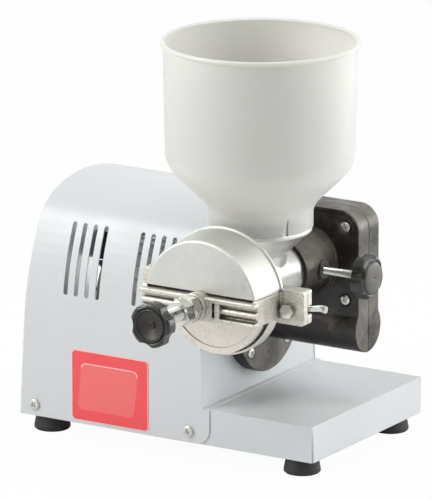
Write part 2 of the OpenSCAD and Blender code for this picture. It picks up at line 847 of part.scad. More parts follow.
module cooling_fan() {
    blades = 9;
    hub_r = shaft_r + 7;
    color(black) place() difference() {
        union() {
            x_cyl(hub_r, fan_x0, fan_x1, mid_y, worm_z);
            x_cyl(fan_r, fan_x1 - 2, fan_x1, mid_y, worm_z);
            for (i = [0:blades - 1]) translate([fan_x0, mid_y, worm_z])
                rotate([i * 360 / blades, 0, 0])
                    translate([0, -1, hub_r - 1]) cube([fan_t - 1, 2, fan_r - hub_r - 0.5]);
        }
        x_cyl(shaft_r, fan_x0 - cut, fan_x1 + cut, mid_y, worm_z);
    }
}

module motor_cradle() {
    x0 = core_x0 - 8;
    x1 = core_x1 + 8;
    half = motor_r * 0.75;
    color(steel_grey) place() difference() {
        union() {
            box([x0, mid_y - cradle_half, tray_z1], [x1, mid_y + cradle_half, tray_z1 + 3]);
            for (x = [x0, x1 - 3])
                box([x, mid_y - half, tray_z1], [x + 3, mid_y + half, worm_z - motor_r * 0.45]);
        }
        x_cyl(motor_r + 0.05, 0, base_w, mid_y, worm_z);
        cradle_points() z_cyl(2.7, tray_z1 - cut, tray_z1 + 3 + cut, 0, 0);
    }
}

module cradle_points() {
    for (x = [core_x0 + 8, core_x1 - 8], s = [-1, 1])
        translate([x, mid_y + s * (motor_r * 0.75 + 6), 0]) children();
}

module cradle_screws() {
    color(zinc) place() cradle_points() translate([0, 0, tray_z1 + 3]) rotate([180, 0, 0])
        pan_screw(4.8, 3, 2.5, 12);
}

/* ---- gearbox ---- */

module flange_screw_points() {
    for (a = [45:90:315])
        translate([0, mid_y + flange_bolts_r * cos(a), worm_z + flange_bolts_r * sin(a)]) children();
}

// Everything to the left of the right panel's outer face
module left_of_panel() {
    top = tray_z0 + cab_h;
    foot_x = cab_w - 0.6;
    slab_y(-cut, base_d + cut) polygon([[0, 0], [foot_x + cab_lean * tray_z0, 0],
        [foot_x - cab_lean * (far - tray_z0), far], [0, far]]);
}

module gearbox_flange() {
    color(black) place() difference() {
        union() {
            x_cyl(flange_r, panel_top_x - 4, flange_x1, mid_y, worm_z);
            x_cyl(tube_bore, flange_x1 - 1, flange_x1 + spigot_l, mid_y, worm_z);
        }
        left_of_panel();
        x_cyl(shaft_r + 3, 0, far, mid_y, worm_z);
        flange_screw_points() {
            x_cyl(3.2, 0, far, 0, 0);
            x_cyl(6.5, flange_x1 - 2, far, 0, 0);
        }
    }
}

module flange_screws() {
    color(zinc) place() flange_screw_points() translate([flange_x1 - 2, 0, 0])
        rotate([0, -90, 0]) pan_screw(5.6, 3.2, 2.9, flange_x1 - shell_x1 - 5);
}

// Upright slab of the gearbox with rounded corners, each side moved inwards by d
module gearbox_slab(d) {
    round_rect(gear_x0 + d, worm_z - 2 * gear_corner, gear_x1 - d, gear_top_z - d, gear_corner - d);
}

module gearbox_case() {
    slab_y(gear_y0, gear_y1) gearbox_slab(0);
}

module gearbox_outside() {
    intersection() {
        union() gearbox_case();
        box([0, -far, worm_z], [far, far, far]);
    }
    x_cyl(tube_r, flange_x1, gear_x1, mid_y, worm_z);
}

module gearbox_inside() {
    y_cyl(cavity_r, mid_y - cavity_half, mid_y + cavity_half, mill_x, mill_z);
    x_cyl(tube_bore, flange_x1 - cut, gear_x1 - tube_end, mid_y, worm_z);
    x_cyl(flange_r + 0.1, 0, flange_x1, mid_y, worm_z);
}

module gearbox_screw_points() {
    for (x = [-screw_dx, screw_dx], z = [-screw_down, screw_up])
        translate([mill_x + x, 0, mill_z + z]) children();
}

// Shallow groove around the front face
module face_groove() {
    inset = 4.5;
    wide = 1.4;
    deep = 0.9;
    slab_y(gear_y0 - cut, gear_y0 + deep) intersection() {
        difference() {
            gearbox_slab(inset);
            gearbox_slab(inset + wide);
        }
        box2([0, worm_z + tube_r - 3], [far, far]);
    }
}

module gearbox_front() {
    color(black) place() difference() {
        union() {
            intersection() {
                gearbox_outside();
                box([0, -far, 0], [far, mid_y, far]);
            }
            y_cyl(collar_r, collar_y0, gear_y0 + 4, mill_x, mill_z);
            y_cyl(collar_r + 2, gear_y0 - 4, gear_y0 + 4, mill_x, mill_z);
            x_cyl(clamp_boss_r, mill_x + collar_r - 8, mill_x + clamp_boss_out, clamp_y, mill_z);
        }
        gearbox_inside();
        face_groove();
        y_cyl(barrel_r + fit_gap, collar_y0 - cut, seal_y0, mill_x, mill_z);
        y_cyl(out_r + 6, seal_y0 - cut, gear_y0 + cut, mill_x, mill_z);
        y_cyl(front_bearing_r, front_bearing_y0, mid_y - cavity_half + cut, mill_x, mill_z);
        x_cyl(clamp_r + fit_gap, mill_x, far, clamp_y, mill_z);
        gearbox_screw_points() {
            y_cyl(2.6, gear_y0 - cut, mid_y + cut, 0, 0);
            y_cyl(6.3, gear_y0 - cut, gear_y0 + 1.4, 0, 0);
        }
    }
}

module gearbox_back() {
    color(black) place() difference() {
        union() {
            intersection() {
                gearbox_outside();
                box([0, mid_y, 0], [far, far, far]);
            }
            y_cyl(bearing_r + 5, gear_y1 - 4, cap_y1, mill_x, mill_z);
        }
        gearbox_inside();
        y_cyl(bearing_r, mid_y + cavity_half - cut, back_bearing_y1, mill_x, mill_z);
        gearbox_screw_points() y_cyl(2.05, mid_y - cut, mid_y + 14, 0, 0);
    }
}

module gearbox_screws() {
    color(zinc) place() gearbox_screw_points() translate([0, gear_y0 + 1.4, 0])
        rotate([-90, 0, 0]) pan_screw(5.3, 2.8, 2, gear_half + 11);
}

// Radius of the worm's cross-section at an angle, for a thread of straight-sided section
worm_flank = 0.9;
function worm_section(a) = let (
        p = PI * gear_m,
        u = abs((a * worm_starts / 360 - floor(a * worm_starts / 360 + 0.5)) * p),
        half_root = p / 4 + worm_flank,
        half_tip = p / 4 - worm_flank - 0.35)
    worm_r + (u <= half_tip ? worm_tip : u >= half_root ? -worm_root
        : worm_tip - (worm_tip + worm_root) * (u - half_tip) / (half_root - half_tip));

module worm() {
    steps = 36;
    lead = PI * gear_m * worm_starts;
    turn_slices = 20;
    color(bronze) place() difference() {
        union() {
            translate([worm_x0, mid_y, worm_z]) rotate([0, 90, 0])
                rotate([0, 0, -180 - 360 * (worm_len / 2) / lead])
                    linear_extrude(height = worm_len, twist = -360 * worm_len / lead,
                        slices = ceil(turn_slices * worm_len / lead), $fn = 12)
                        polygon([for (i = [0:steps - 1]) let (a = i * 360 / steps)
                            worm_section(a) * [cos(a), sin(a)]]);
            x_cyl(worm_r - worm_root - 0.3, worm_x0 - 6, worm_x1 + 6, mid_y, worm_z);
        }
        x_cyl(shaft_r, 0, far, mid_y, worm_z);
    }
}

module worm_bearings() {
    color(zinc) place() {
        x_ring(tube_bore, shaft_r + fit_gap, flange_x1 + spigot_l, flange_x1 + spigot_l + bearing_w,
            mid_y, worm_z);
        x_ring(tube_bore, shaft_r + fit_gap, gear_x1 - tube_end - bearing_w - 1,
            gear_x1 - tube_end - 1, mid_y, worm_z);
    }
}

module worm_wheel() {
    y0 = mid_y - wheel_face / 2;
    y1 = mid_y + wheel_face / 2;
    root_r = wheel_r - 1.25 * gear_m;
    tip_r = wheel_r + 0.85 * gear_m;
    root_w = PI * gear_m / 4 + 0.5;
    tip_w = PI * gear_m / 4 - 1.3;
    color(bronze) place() difference() {
        union() {
            y_cyl(root_r, y0, y1, mill_x, mill_z);
            for (i = [0:wheel_n - 1]) translate([mill_x, mid_y, mill_z])
                rotate([0, (i + 0.5) * 360 / wheel_n, 0]) gear_tooth(root_r, tip_r, root_w, tip_w);
        }
        y_cyl(out_r, y0 - cut, y1 + cut, mill_x, mill_z);
        for (i = [0:5]) translate([mill_x, 0, mill_z]) rotate([0, i * 60, 0])
            y_cyl(6, y0 - cut, y1 + cut, wheel_r * 0.55, 0);
    }
}

// One tooth: stands along +Z, its width along X, its length along Y, turned by the lead angle
module gear_tooth(root_r, tip_r, root_w, tip_w) {
    rotate([0, 0, -lead_angle]) rotate([90, 0, 0])
        linear_extrude(height = wheel_face / cos(lead_angle), center = true)
            polygon([[-root_w, root_r - 1], [root_w, root_r - 1], [tip_w, tip_r], [-tip_w, tip_r]]);
}

module wheel_shaft() {
    color(dark_steel) place() {
        y_cyl(out_r, seal_y0 - 2, back_bearing_y1 - 1, mill_x, mill_z);
        box([mill_x - 4, seal_y0 - 2 - tang_len, mill_z - out_r + 1.5],
            [mill_x + 4, seal_y0 - 1, mill_z + out_r - 1.5]);
    }
}

module wheel_bearings() {
    color(zinc) place() {
        y_ring(front_bearing_r, out_r + fit_gap, front_bearing_y0, gear_y0, mill_x, mill_z);
        y_ring(bearing_r, out_r + fit_gap, back_bearing_y0, back_bearing_y1, mill_x, mill_z);
    }
}

module shaft_seal() {
    color(rubber_black) place()
        y_ring(out_r + 6, out_r + fit_gap, seal_y0 + 0.5, front_bearing_y0, mill_x, mill_z);
}

/* ---- mill head ---- */

// Funnel above the barrel: its outside with the ledge that carries the hopper, its inside
throat_r = 25.5;
funnel_wall = 4;
funnel_top_z = neck_z0 + neck_h - 2;

module funnel_outside() {
    translate([mill_x, hopper_y, 0]) rotate_extrude() polygon([[0, mill_z], [throat_r, mill_z],
        [throat_r, mill_z + 10], [throat_r + 1.5, mill_z + 27], [42.7, neck_z0 - 10.4],
        [neck_r - 1, neck_z0 - 4], [neck_r - 1, neck_z0], [funnel_top_r, neck_z0],
        [funnel_top_r, funnel_top_z], [0, funnel_top_z]]);
}

module funnel_inside() {
    r = throat_r - funnel_wall;
    top_r = funnel_top_r - funnel_wall;
    translate([mill_x, hopper_y, 0]) rotate_extrude() polygon([[0, mill_z], [r, mill_z],
        [r, mill_z + 10], [r + 1.5, mill_z + 27], [42.7 - funnel_wall, neck_z0 - 10.4],
        [top_r, neck_z0 - 4], [top_r, funnel_top_z + cut], [0, funnel_top_z + cut]]);
}

module mill_body() {
    color(cast_grey) place() difference() {
        union() {
            y_cyl(barrel_r, seat_y1 - 2, barrel_end - free_gap, mill_x, mill_z);
            y_cyl(seat_r, seat_y0, seat_y1, mill_x, mill_z);
            intersection() {
                y_cyl(hood_seat_r - fit_gap, seat_y0, seat_y1, mill_x, mill_z);
                box([0, -far, mill_z + hood_low], [far, 0, far]);
            }
            y_ring(seat_r, disc_r + 1, fixed_y0 + 2, seat_y0 + cut, mill_x, mill_z);
            funnel_outside();
            slab_y(lug_y0, lug_y1) translate([mill_x, 0])
                round_rect(-lug_x, lug_z0, lug_x, lug_z0 + lug_h, 3);
        }
        y_cyl(barrel_bore, seat_y0 - cut, far, mill_x, mill_z);
        funnel_inside();
        for (s = [-1, 1]) {
            y_cyl(bolt_r + 0.5, lug_y0 - cut, lug_y1 + cut, mill_x + s * lug_bolt_x, lug_bolt_z);
            box([mill_x + s * (lug_bolt_x + 15) - 15, lug_y0 - cut, lug_bolt_z - bolt_r - 0.5],
                [mill_x + s * (lug_bolt_x + 15) + 15, lug_y1 + cut, lug_bolt_z + bolt_r + 0.5]);
        }
        disc_screw_points() y_cyl(2.1, seat_y0 - cut, seat_y1 + cut, 0, 0);
    }
}

module barrel_bush() {
    color(bronze) place() difference() {
        y_cyl(barrel_bore, bush_y0, barrel_end - free_gap, mill_x, mill_z);
        y_cyl(out_r + fit_gap, bush_y0 - cut, barrel_end + cut, mill_x, mill_z);
    }
}

module auger() {
    core_r = 9;
    y0 = seat_y0 - 1;
    y1 = bush_y0 - 1;
    len = y1 - y0;
    flight = [for (a = [-48:16:48]) auger_r * [cos(a), sin(a)]];
    root = [for (a = [96:24:264]) core_r * [cos(a), sin(a)]];
    color(cast_grey) place() difference() {
        union() {
            translate([mill_x, y0, mill_z]) rotate([-90, 0, 0])
                linear_extrude(height = len, twist = -360 * len / auger_lead,
                    slices = ceil(16 * len / auger_lead), $fn = 12) polygon(concat(flight, root));
            y_cyl(out_r, y1 - 1, barrel_end - 4, mill_x, mill_z);
            y_cyl(core_r + 2, turn_y0 + 2, y0 + 1, mill_x, mill_z);
        }
        box([mill_x - 4, seal_y0 - 2 - tang_len, mill_z - out_r - 1],
            [mill_x + 4, far, mill_z + out_r + 1]);
    }
}

module disc_screw_points() {
    for (a = [90:120:330]) translate([mill_x + 40 * cos(a), 0, mill_z + 40 * sin(a)]) children();
}

// Radial grinding ribs on the face of a disc, between two radii
module disc_ribs(y0, y1, n) {
    for (i = [0:n - 1]) translate([mill_x, 0, mill_z]) rotate([0, i * 360 / n, 0])
        box([30, y0, -1], [disc_r - 2, y1, 1]);
}

module fixed_disc() {
    color(dark_steel) place() difference() {
        union() {
            y_ring(disc_r, barrel_bore, fixed_y0 + 1.5, seat_y0, mill_x, mill_z);
            disc_ribs(fixed_y0, fixed_y0 + 2, 24);
        }
        disc_screw_points() {
            y_cyl(2.3, fixed_y0 - cut, seat_y0 + cut, 0, 0);
            y_cyl(4.6, fixed_y0 - cut, fixed_y0 + 4.5, 0, 0);
        }
    }
}

module disc_screws() {
    color(zinc) place() disc_screw_points() translate([0, fixed_y0 + 4.5, 0])
        rotate([-90, 0, 0]) pan_screw(4.2, 2.4, 2, disc_t + 2);
}

module turning_disc() {
    rim_w = 6;
    color(cast_grey) place() difference() {
        union() {
            y_cyl(disc_r, turn_y0 + 1, turn_y1 - 1.5, mill_x, mill_z);
            y_ring(disc_r, disc_r - rim_w, turn_y0, turn_y0 + 1 + cut, mill_x, mill_z);
            y_cyl(18, turn_y0 - 2, turn_y0 + 2, mill_x, mill_z);
            disc_ribs(turn_y1 - 2, turn_y1, 24);
        }
        y_cyl(9 + 2, turn_y0 + 2, turn_y1 + cut, mill_x, mill_z);
        y_cyl(24, turn_y1 - 4, turn_y1 + cut, mill_x, mill_z);
    }
}

// Half drum over the discs, open below, wider at its back, with a groove before its rim
module disc_hood() {
    e = hood_edge;
    color(cast_grey) place() translate([mill_x, 0, mill_z]) difference() {
        rotate([90, 0, 0]) rotate_extrude() polygon([[0, -hood_y0], [hood_r - e, -hood_y0],
            [hood_r - 0.3 * e, -hood_y0 - 0.3 * e], [hood_r, -hood_y0 - e],
            [hood_skirt_r, -hood_y1 + 4.4], [hood_skirt_r - 0.8, -hood_y1 + 4],
            [hood_skirt_r - 0.8, -hood_y1 + 3.2], [hood_back_r, -hood_y1 + 2.8],
            [hood_back_r, -hood_y1], [hood_seat_r, -hood_y1], [hood_seat_r, -seat_y0 + 2],
            [hood_r - hood_wall, -hood_y0 - hood_wall], [0, -hood_y0 - hood_wall]]);
        box([-far, -far, -far], [far, far, hood_low]);
    }
}

// Room that the hood takes, a little wider than the hood
module hood_room() {
    intersection() {
        y_cyl(hood_back_r + free_gap, hood_y0 - free_gap, foot_y1 + cut, mill_x, mill_z);
        box([0, -far, mill_z + hood_low], [far, 0, far]);
    }
}

module yoke() {
    z1 = mill_z + 10;
    z0 = z1 - yoke_h;
    pocket_z0 = z0 + 4.5;
    pocket_z1 = z1 - 4.5;
    pocket_y = yoke_y0 + 8;
    color(cast_grey) place() difference() {
        union() {
            slab_y(yoke_y0, yoke_y0 + yoke_bar) translate([mill_x, 0])
                round_rect(-yoke_x, z0, yoke_x, z1, 2);
            for (s = [-1, 1]) {
                box([mill_x + s * (yoke_x - yoke_arm / 2) - yoke_arm / 2, hood_y0, z0],
                    [mill_x + s * (yoke_x - yoke_arm / 2) + yoke_arm / 2, foot_y1,
                    mill_z + hood_low]);
                slab_y(foot_y0, foot_y1) round_rect(
                    mill_x + s * (lug_x + yoke_x - yoke_arm) / 2 - (lug_x - yoke_x + yoke_arm) / 2,
                    lug_z0, mill_x + s * (lug_x + yoke_x - yoke_arm) / 2
                    + (lug_x - yoke_x + yoke_arm) / 2, lug_z0 + lug_h, 3);
            }
            y_cyl(14, yoke_y0 - yoke_boss, yoke_y0 + yoke_bar + 4, mill_x, mill_z);
        }
        for (s = [-1, 1]) {
            difference() {
                box([mill_x + s * (yoke_x + 28) / 2 - (yoke_x - 8) / 2, yoke_y0 - cut,
                    pocket_z0], [mill_x + s * (yoke_x + 28) / 2 + (yoke_x - 8) / 2,
                    pocket_y, pocket_z1]);
                x_cyl(4, mill_x - s * 5 - 70, mill_x + s * 5 + 70, pocket_y, (z0 + z1) / 2 - 1);
                box([mill_x + s * 23 - 3, yoke_y0 + 1.5, z0], [mill_x + s * 23 + 3, pocket_y + 1, z1]);
            }
            y_cyl(bolt_r + 0.4, foot_y0 - cut, foot_y1 + cut, mill_x + s * lug_bolt_x, lug_bolt_z);
        }
        y_cyl(adjust_r + fit_gap, yoke_y0 - far, yoke_y0 + yoke_bar + 10, mill_x, mill_z);
        hood_room();
    }
}

module lug_bolts() {
    head_t = 5.5;
    color(zinc) place() for (s = [-1, 1]) {
        y_hex(7.5, foot_y0 - head_t, foot_y0, mill_x + s * lug_bolt_x, lug_bolt_z);
        y_cyl(bolt_r, foot_y0 - cut, lug_y1 + 18, mill_x + s * lug_bolt_x, lug_bolt_z);
    }
}

// Wing nut whose wings reach to both sides and sweep back
module wing_nut(s) {
    hub_r = 8;
    hub_t = 9;
    wing_r = 26;
    x = mill_x + s * lug_bolt_x;
    difference() {
        union() {
            y_cyl(hub_r, lug_y1, lug_y1 + hub_t, x, lug_bolt_z);
            for (t = [-1, 1]) translate([x, lug_y1 + 1.5, lug_bolt_z]) rotate([0, 9, 0]) hull() {
                translate([t * (hub_r - 3), 0, -2]) cube([1, 6, 4]);
                translate([t * (wing_r - 1.5), 10, -1.6]) cube([1, 9, 3.2]);
            }
        }
        y_cyl(bolt_r + fit_gap, lug_y1 - cut, lug_y1 + hub_t + cut, x, lug_bolt_z);
    }
}

module wing_nut_left() {
    color(zinc) place() wing_nut(-1);
}

module wing_nut_right() {
    color(zinc) place() wing_nut(1);
}

// One hexagon nut with chamfered ends, along Y
module chamfered_nut(r, t, y0) {
    h = r * cos(30);
    translate([mill_x, y0 + t, mill_z]) rotate([90, 0, 0]) difference() {
        intersection() {
            cylinder(r = r, h = t, $fn = 6);
            rotate_extrude() polygon([[0, 0], [h, 0], [r + 0.2, 0.58 * (r + 0.2 - h)],
                [r + 0.2, t - 0.58 * (r + 0.2 - h)], [h, t], [0, t]]);
        }
        translate([0, 0, -cut]) cylinder(r = adjust_r + fit_gap, h = t + 2 * cut);
    }
}

// Two nuts locked against each other and against the yoke's boss
module lock_nut() {
    nut_y1 = yoke_y0 - yoke_boss;
    color(zinc) place() {
        chamfered_nut(nut_r, nut_t, nut_y1 - nut_t);
        translate([mill_x, 0, mill_z]) rotate([0, 24, 0]) translate([-mill_x, 0, -mill_z])
            chamfered_nut(nut_r, nut_t, nut_y1 - 2 * nut_t - 0.2);
    }
}

module adjusting_screw() {
    color(zinc) place() y_cyl(adjust_r, knob_back_y - 8, turn_y0 - 2 - pad_t, mill_x, mill_z);
}

module thrust_pad() {
    color(bronze) place() y_cyl(9, turn_y0 - 2 - pad_t, turn_y0 - 2, mill_x, mill_z);
}

/* ---- knobs ---- */

// Turn of each knob's first notch at rest, degrees
adjusting_knob_turn = 32;
clamp_knob_turn = 3;

// Outline of a star knob whose lobes lie on a circle of radius r
module star(r) {
    difference() {
        circle(r = r);
        for (i = [0:knob_lobes - 1]) rotate(i * 360 / knob_lobes)
            translate([knob_r - knob_notch_d + knob_notch_r, 0]) circle(r = knob_notch_r);
    }
}

// Star knob from its face at the origin to its back along +Z, with a hole for its screw
module star_knob(hole_r, hole_l, turn) {
    waist = 3;
    difference() {
        union() {
            rotate([0, 0, turn]) {
                translate([0, 0, 1.8]) linear_extrude(height = knob_len - 1.8 - waist) star(knob_r);
                translate([0, 0, 0.6]) linear_extrude(height = 2) star(knob_r - 0.7);
                linear_extrude(height = 2) star(knob_r - 1.9);
            }
            cylinder(r = knob_r * 0.62, h = knob_len);
        }
        translate([0, 0, knob_len - hole_l]) cylinder(r = hole_r, h = hole_l + cut);
    }
}

module adjusting_knob() {
    dish_r = knob_r - 6.2;
    color(black) place() translate([mill_x, knob_front_y, mill_z]) rotate([-90, 0, 0]) difference() {
        star_knob(adjust_r, 8, adjusting_knob_turn);
        translate([0, 0, -cut]) cylinder(r = dish_r, h = 1.5 + cut);
        translate([0, 0, 1]) cylinder(r1 = dish_r - 1, r2 = 3, h = 3);
    }
}

module clamp_knob() {
    color(black) place() translate([clamp_face_x, clamp_y, mill_z]) rotate([0, -90, 0]) difference() {
        union() {
            star_knob(clamp_r, 10, clamp_knob_turn);
            translate([0, 0, -cap_rise]) cylinder(r1 = knob_r - 7, r2 = knob_r - 5, h = cap_rise);
        }
        translate([0, 0, -cap_rise - cut]) cylinder(r = 0.9, h = 2);
    }
}

module clamp_screw() {
    color(zinc) place()
        x_cyl(clamp_r, mill_x + barrel_r + 2, clamp_back_x + 10, clamp_y, mill_z);
}

module clamp_pad() {
    color(bronze) place() intersection() {
        x_cyl(clamp_r - 0.2, mill_x + barrel_r - 3, mill_x + barrel_r + 2, clamp_y, mill_z);
        difference() {
            box([mill_x, -far, 0], [far, far, far]);
            y_cyl(barrel_r + free_gap / 2, -far, far, mill_x, mill_z);
        }
    }
}

/* ---- hopper ---- */

// Shoulder of the hopper: shares of its width and of its height, from neck to wall
shoulder = [[0, 0], [0.02, 0.05], [0.06, 0.12], [0.12, 0.19], [0.2, 0.255], [0.29, 0.32],
    [0.38, 0.385], [0.47, 0.45], [0.56, 0.512], [0.65, 0.575], [0.735, 0.64], [0.81, 0.7],
    [0.875, 0.765], [0.925, 0.83], [0.962, 0.89], [0.985, 0.945], [1, 1]];
shoulder_r = hopper_r - 2.2;

function shoulder_point(k) = [neck_r + (shoulder_r - neck_r) * shoulder[k][0],
    neck_h + shoulder_h * shoulder[k][1]];

// The same point moved by d towards the inside, square to the curve
function inner_point(k, d) = let (
        last = len(shoulder) - 1,
        t = shoulder_point(min(k + 1, last)) - shoulder_point(max(k - 1, 0)))
    shoulder_point(k) + d * [-t[1], t[0]] / norm(t);

// Tapered notch in the neck's wall, leaning a little to one side
module neck_notch() {
    top_w = 0.3 * notch_w;
    lean = 0.6;
    rotate([0, 0, notch_turn]) slab_y(-neck_r - 3, -neck_r + hopper_t + 1) polygon([
        [-notch_w / 2, -cut], [notch_w / 2, -cut], [notch_w / 2 + lean, notch_h],
        [notch_w / 2 + lean - top_w, notch_h]]);
}

module hopper() {
    last = len(shoulder) - 1;
    top = rim_z - neck_z0;
    color(milky) place() translate([mill_x, hopper_y, neck_z0]) difference() {
        rotate_extrude() {
            polygon(concat([[neck_r - hopper_t, 0], [neck_r, 0]],
                [for (k = [0:last]) shoulder_point(k)],
                [[hopper_r, top], [hopper_r - hopper_t, top]],
                [for (k = [last:-1:1]) inner_point(k, hopper_t)],
                [[neck_r - hopper_t, neck_h]]));
            translate([hopper_r + rim_out - bead_r, top]) circle(r = bead_r);
        }
        neck_notch();
    }
}

base_tray();
bottom_plate();
rubber_feet();
foot_screws();
foot_nuts();
cabinet_cover();
left_panel();
right_panel();
cover_screws();
label_plate();
switch_frame();
switch_rocker();
cord_gland();
terminal_block();
leads();
capacitor();
capacitor_clip();
motor_shell();
stator_core();
stator_windings();
left_end_bell();
right_end_bell();
motor_bearings();
rotor_core();
motor_shaft();
cooling_fan();
motor_cradle();
cradle_screws();
gearbox_flange();
flange_screws();
gearbox_front();
gearbox_back();
gearbox_screws();
worm();
worm_bearings();
worm_wheel();
wheel_shaft();
wheel_bearings();
shaft_seal();
mill_body();
barrel_bush();
auger();
fixed_disc();
disc_screws();
turning_disc();
disc_hood();
yoke();
lug_bolts();
wing_nut_left();
wing_nut_right();
lock_nut();
adjusting_screw();
adjusting_knob();
thrust_pad();
clamp_screw();
clamp_knob();
clamp_pad();
hopper();
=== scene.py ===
"""Electric grain mill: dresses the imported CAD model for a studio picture.

Everything is in metres in the CAD's frame. at() takes millimetres in the machine's own
frame: X from the cabinet's left edge, Y from its front, Z from the table. The shape helpers
and the values that they take are in those millimetres too.
"""

import json
import math

import bmesh
import bpy
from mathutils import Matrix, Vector

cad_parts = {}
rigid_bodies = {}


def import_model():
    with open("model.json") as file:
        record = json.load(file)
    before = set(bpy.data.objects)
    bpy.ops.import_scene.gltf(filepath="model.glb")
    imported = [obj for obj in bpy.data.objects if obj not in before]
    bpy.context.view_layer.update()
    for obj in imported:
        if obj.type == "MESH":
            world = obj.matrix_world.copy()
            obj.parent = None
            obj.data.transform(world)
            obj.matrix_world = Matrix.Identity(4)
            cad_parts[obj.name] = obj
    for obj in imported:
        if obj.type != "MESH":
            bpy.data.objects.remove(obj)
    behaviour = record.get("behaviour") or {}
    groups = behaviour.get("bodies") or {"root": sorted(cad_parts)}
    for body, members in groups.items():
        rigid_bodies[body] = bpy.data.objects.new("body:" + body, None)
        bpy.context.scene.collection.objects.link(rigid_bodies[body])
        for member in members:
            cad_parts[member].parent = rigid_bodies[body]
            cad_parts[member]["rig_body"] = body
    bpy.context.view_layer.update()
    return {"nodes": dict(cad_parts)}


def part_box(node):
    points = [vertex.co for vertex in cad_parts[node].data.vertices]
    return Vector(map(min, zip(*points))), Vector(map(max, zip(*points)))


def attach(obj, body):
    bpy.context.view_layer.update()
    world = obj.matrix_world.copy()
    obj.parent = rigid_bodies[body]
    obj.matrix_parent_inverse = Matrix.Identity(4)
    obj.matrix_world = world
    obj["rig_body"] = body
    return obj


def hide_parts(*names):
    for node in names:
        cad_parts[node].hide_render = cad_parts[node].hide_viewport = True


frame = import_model()
nodes = frame["nodes"]

MM = 0.001
TURN = 2 * math.pi
RIGHT, LEFT = (1, 0, 0), (-1, 0, 0)
REAR, FRONT = (0, 1, 0), (0, -1, 0)
UP = (0, 0, 1)

cover_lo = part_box("cabinet_cover")[0]
ORIGIN = Vector((cover_lo.x, cover_lo.y, 0.0))


def at(x, y, z):
    """A point in the machine's frame, in millimetres, as a point in the CAD's frame."""
    return ORIGIN + Vector((x, y, z)) * MM


def span(node):
    """A node's lowest and highest corner in the machine's frame, in millimetres."""
    lo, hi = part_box(node)
    return (lo - ORIGIN) / MM, (hi - ORIGIN) / MM


# The mill's axis, which the CAD gives
screw_lo, screw_hi = span("adjusting_screw")
mill_x = (screw_lo.x + screw_hi.x) / 2
mill_z = (screw_lo.z + screw_hi.z) / 2

# ---------------------------------------------------------------- camera

PICTURE_PX = 500          # the picture's longer side, which lens and shift are a share of
FOCAL_PX = 6998.9
SENSOR_MM = 36
AZIMUTH, ELEVATION = math.radians(31.71), math.radians(15.0)
DISTANCE = 7039.7
TARGET = (180, 90, 187)
CENTRE_SHIFT_PX = (1.955, 5.46)
CLIP_NEAR, CLIP_FAR = 1, 30


def photo_camera():
    """The camera at the photograph's viewing angle."""
    back = Vector((
        math.sin(AZIMUTH) * math.cos(ELEVATION),
        -math.cos(AZIMUTH) * math.cos(ELEVATION),
        math.sin(ELEVATION),
    ))
    data = bpy.data.cameras.new("camera")
    data.sensor_width = SENSOR_MM
    data.lens = SENSOR_MM * FOCAL_PX / PICTURE_PX
    data.shift_x = -CENTRE_SHIFT_PX[0] / PICTURE_PX
    data.shift_y = CENTRE_SHIFT_PX[1] / PICTURE_PX
    data.clip_start, data.clip_end = CLIP_NEAR, CLIP_FAR
    camera = bpy.data.objects.new("camera", data)
    camera.location = at(*TARGET) + back * DISTANCE * MM
    camera.rotation_mode = "QUATERNION"
    camera.rotation_quaternion = (-back).to_track_quat("-Z", "Y")
    bpy.context.collection.objects.link(camera)
    return camera


bpy.context.scene.camera = photo_camera()
bpy.context.scene.view_settings.view_transform = "Standard"

# ---------------------------------------------------------------- materials

NOISE_LOW, NOISE_HIGH = 0.3, 0.7          # where most of a noise texture's values lie
WHITE = (1, 1, 1, 1)


def srgb(r, g, b):
    """A colour from 0-255 values to the linear values that shaders take."""
    def lin(v):
        v /= 255
        return v / 12.92 if v <= 0.04045 else ((v + 0.055) / 1.055) ** 2.4
    return (lin(r), lin(g), lin(b), 1)


def tint(color, k):
    """A linear colour, k times as bright."""
    return (color[0] * k, color[1] * k, color[2] * k, 1)


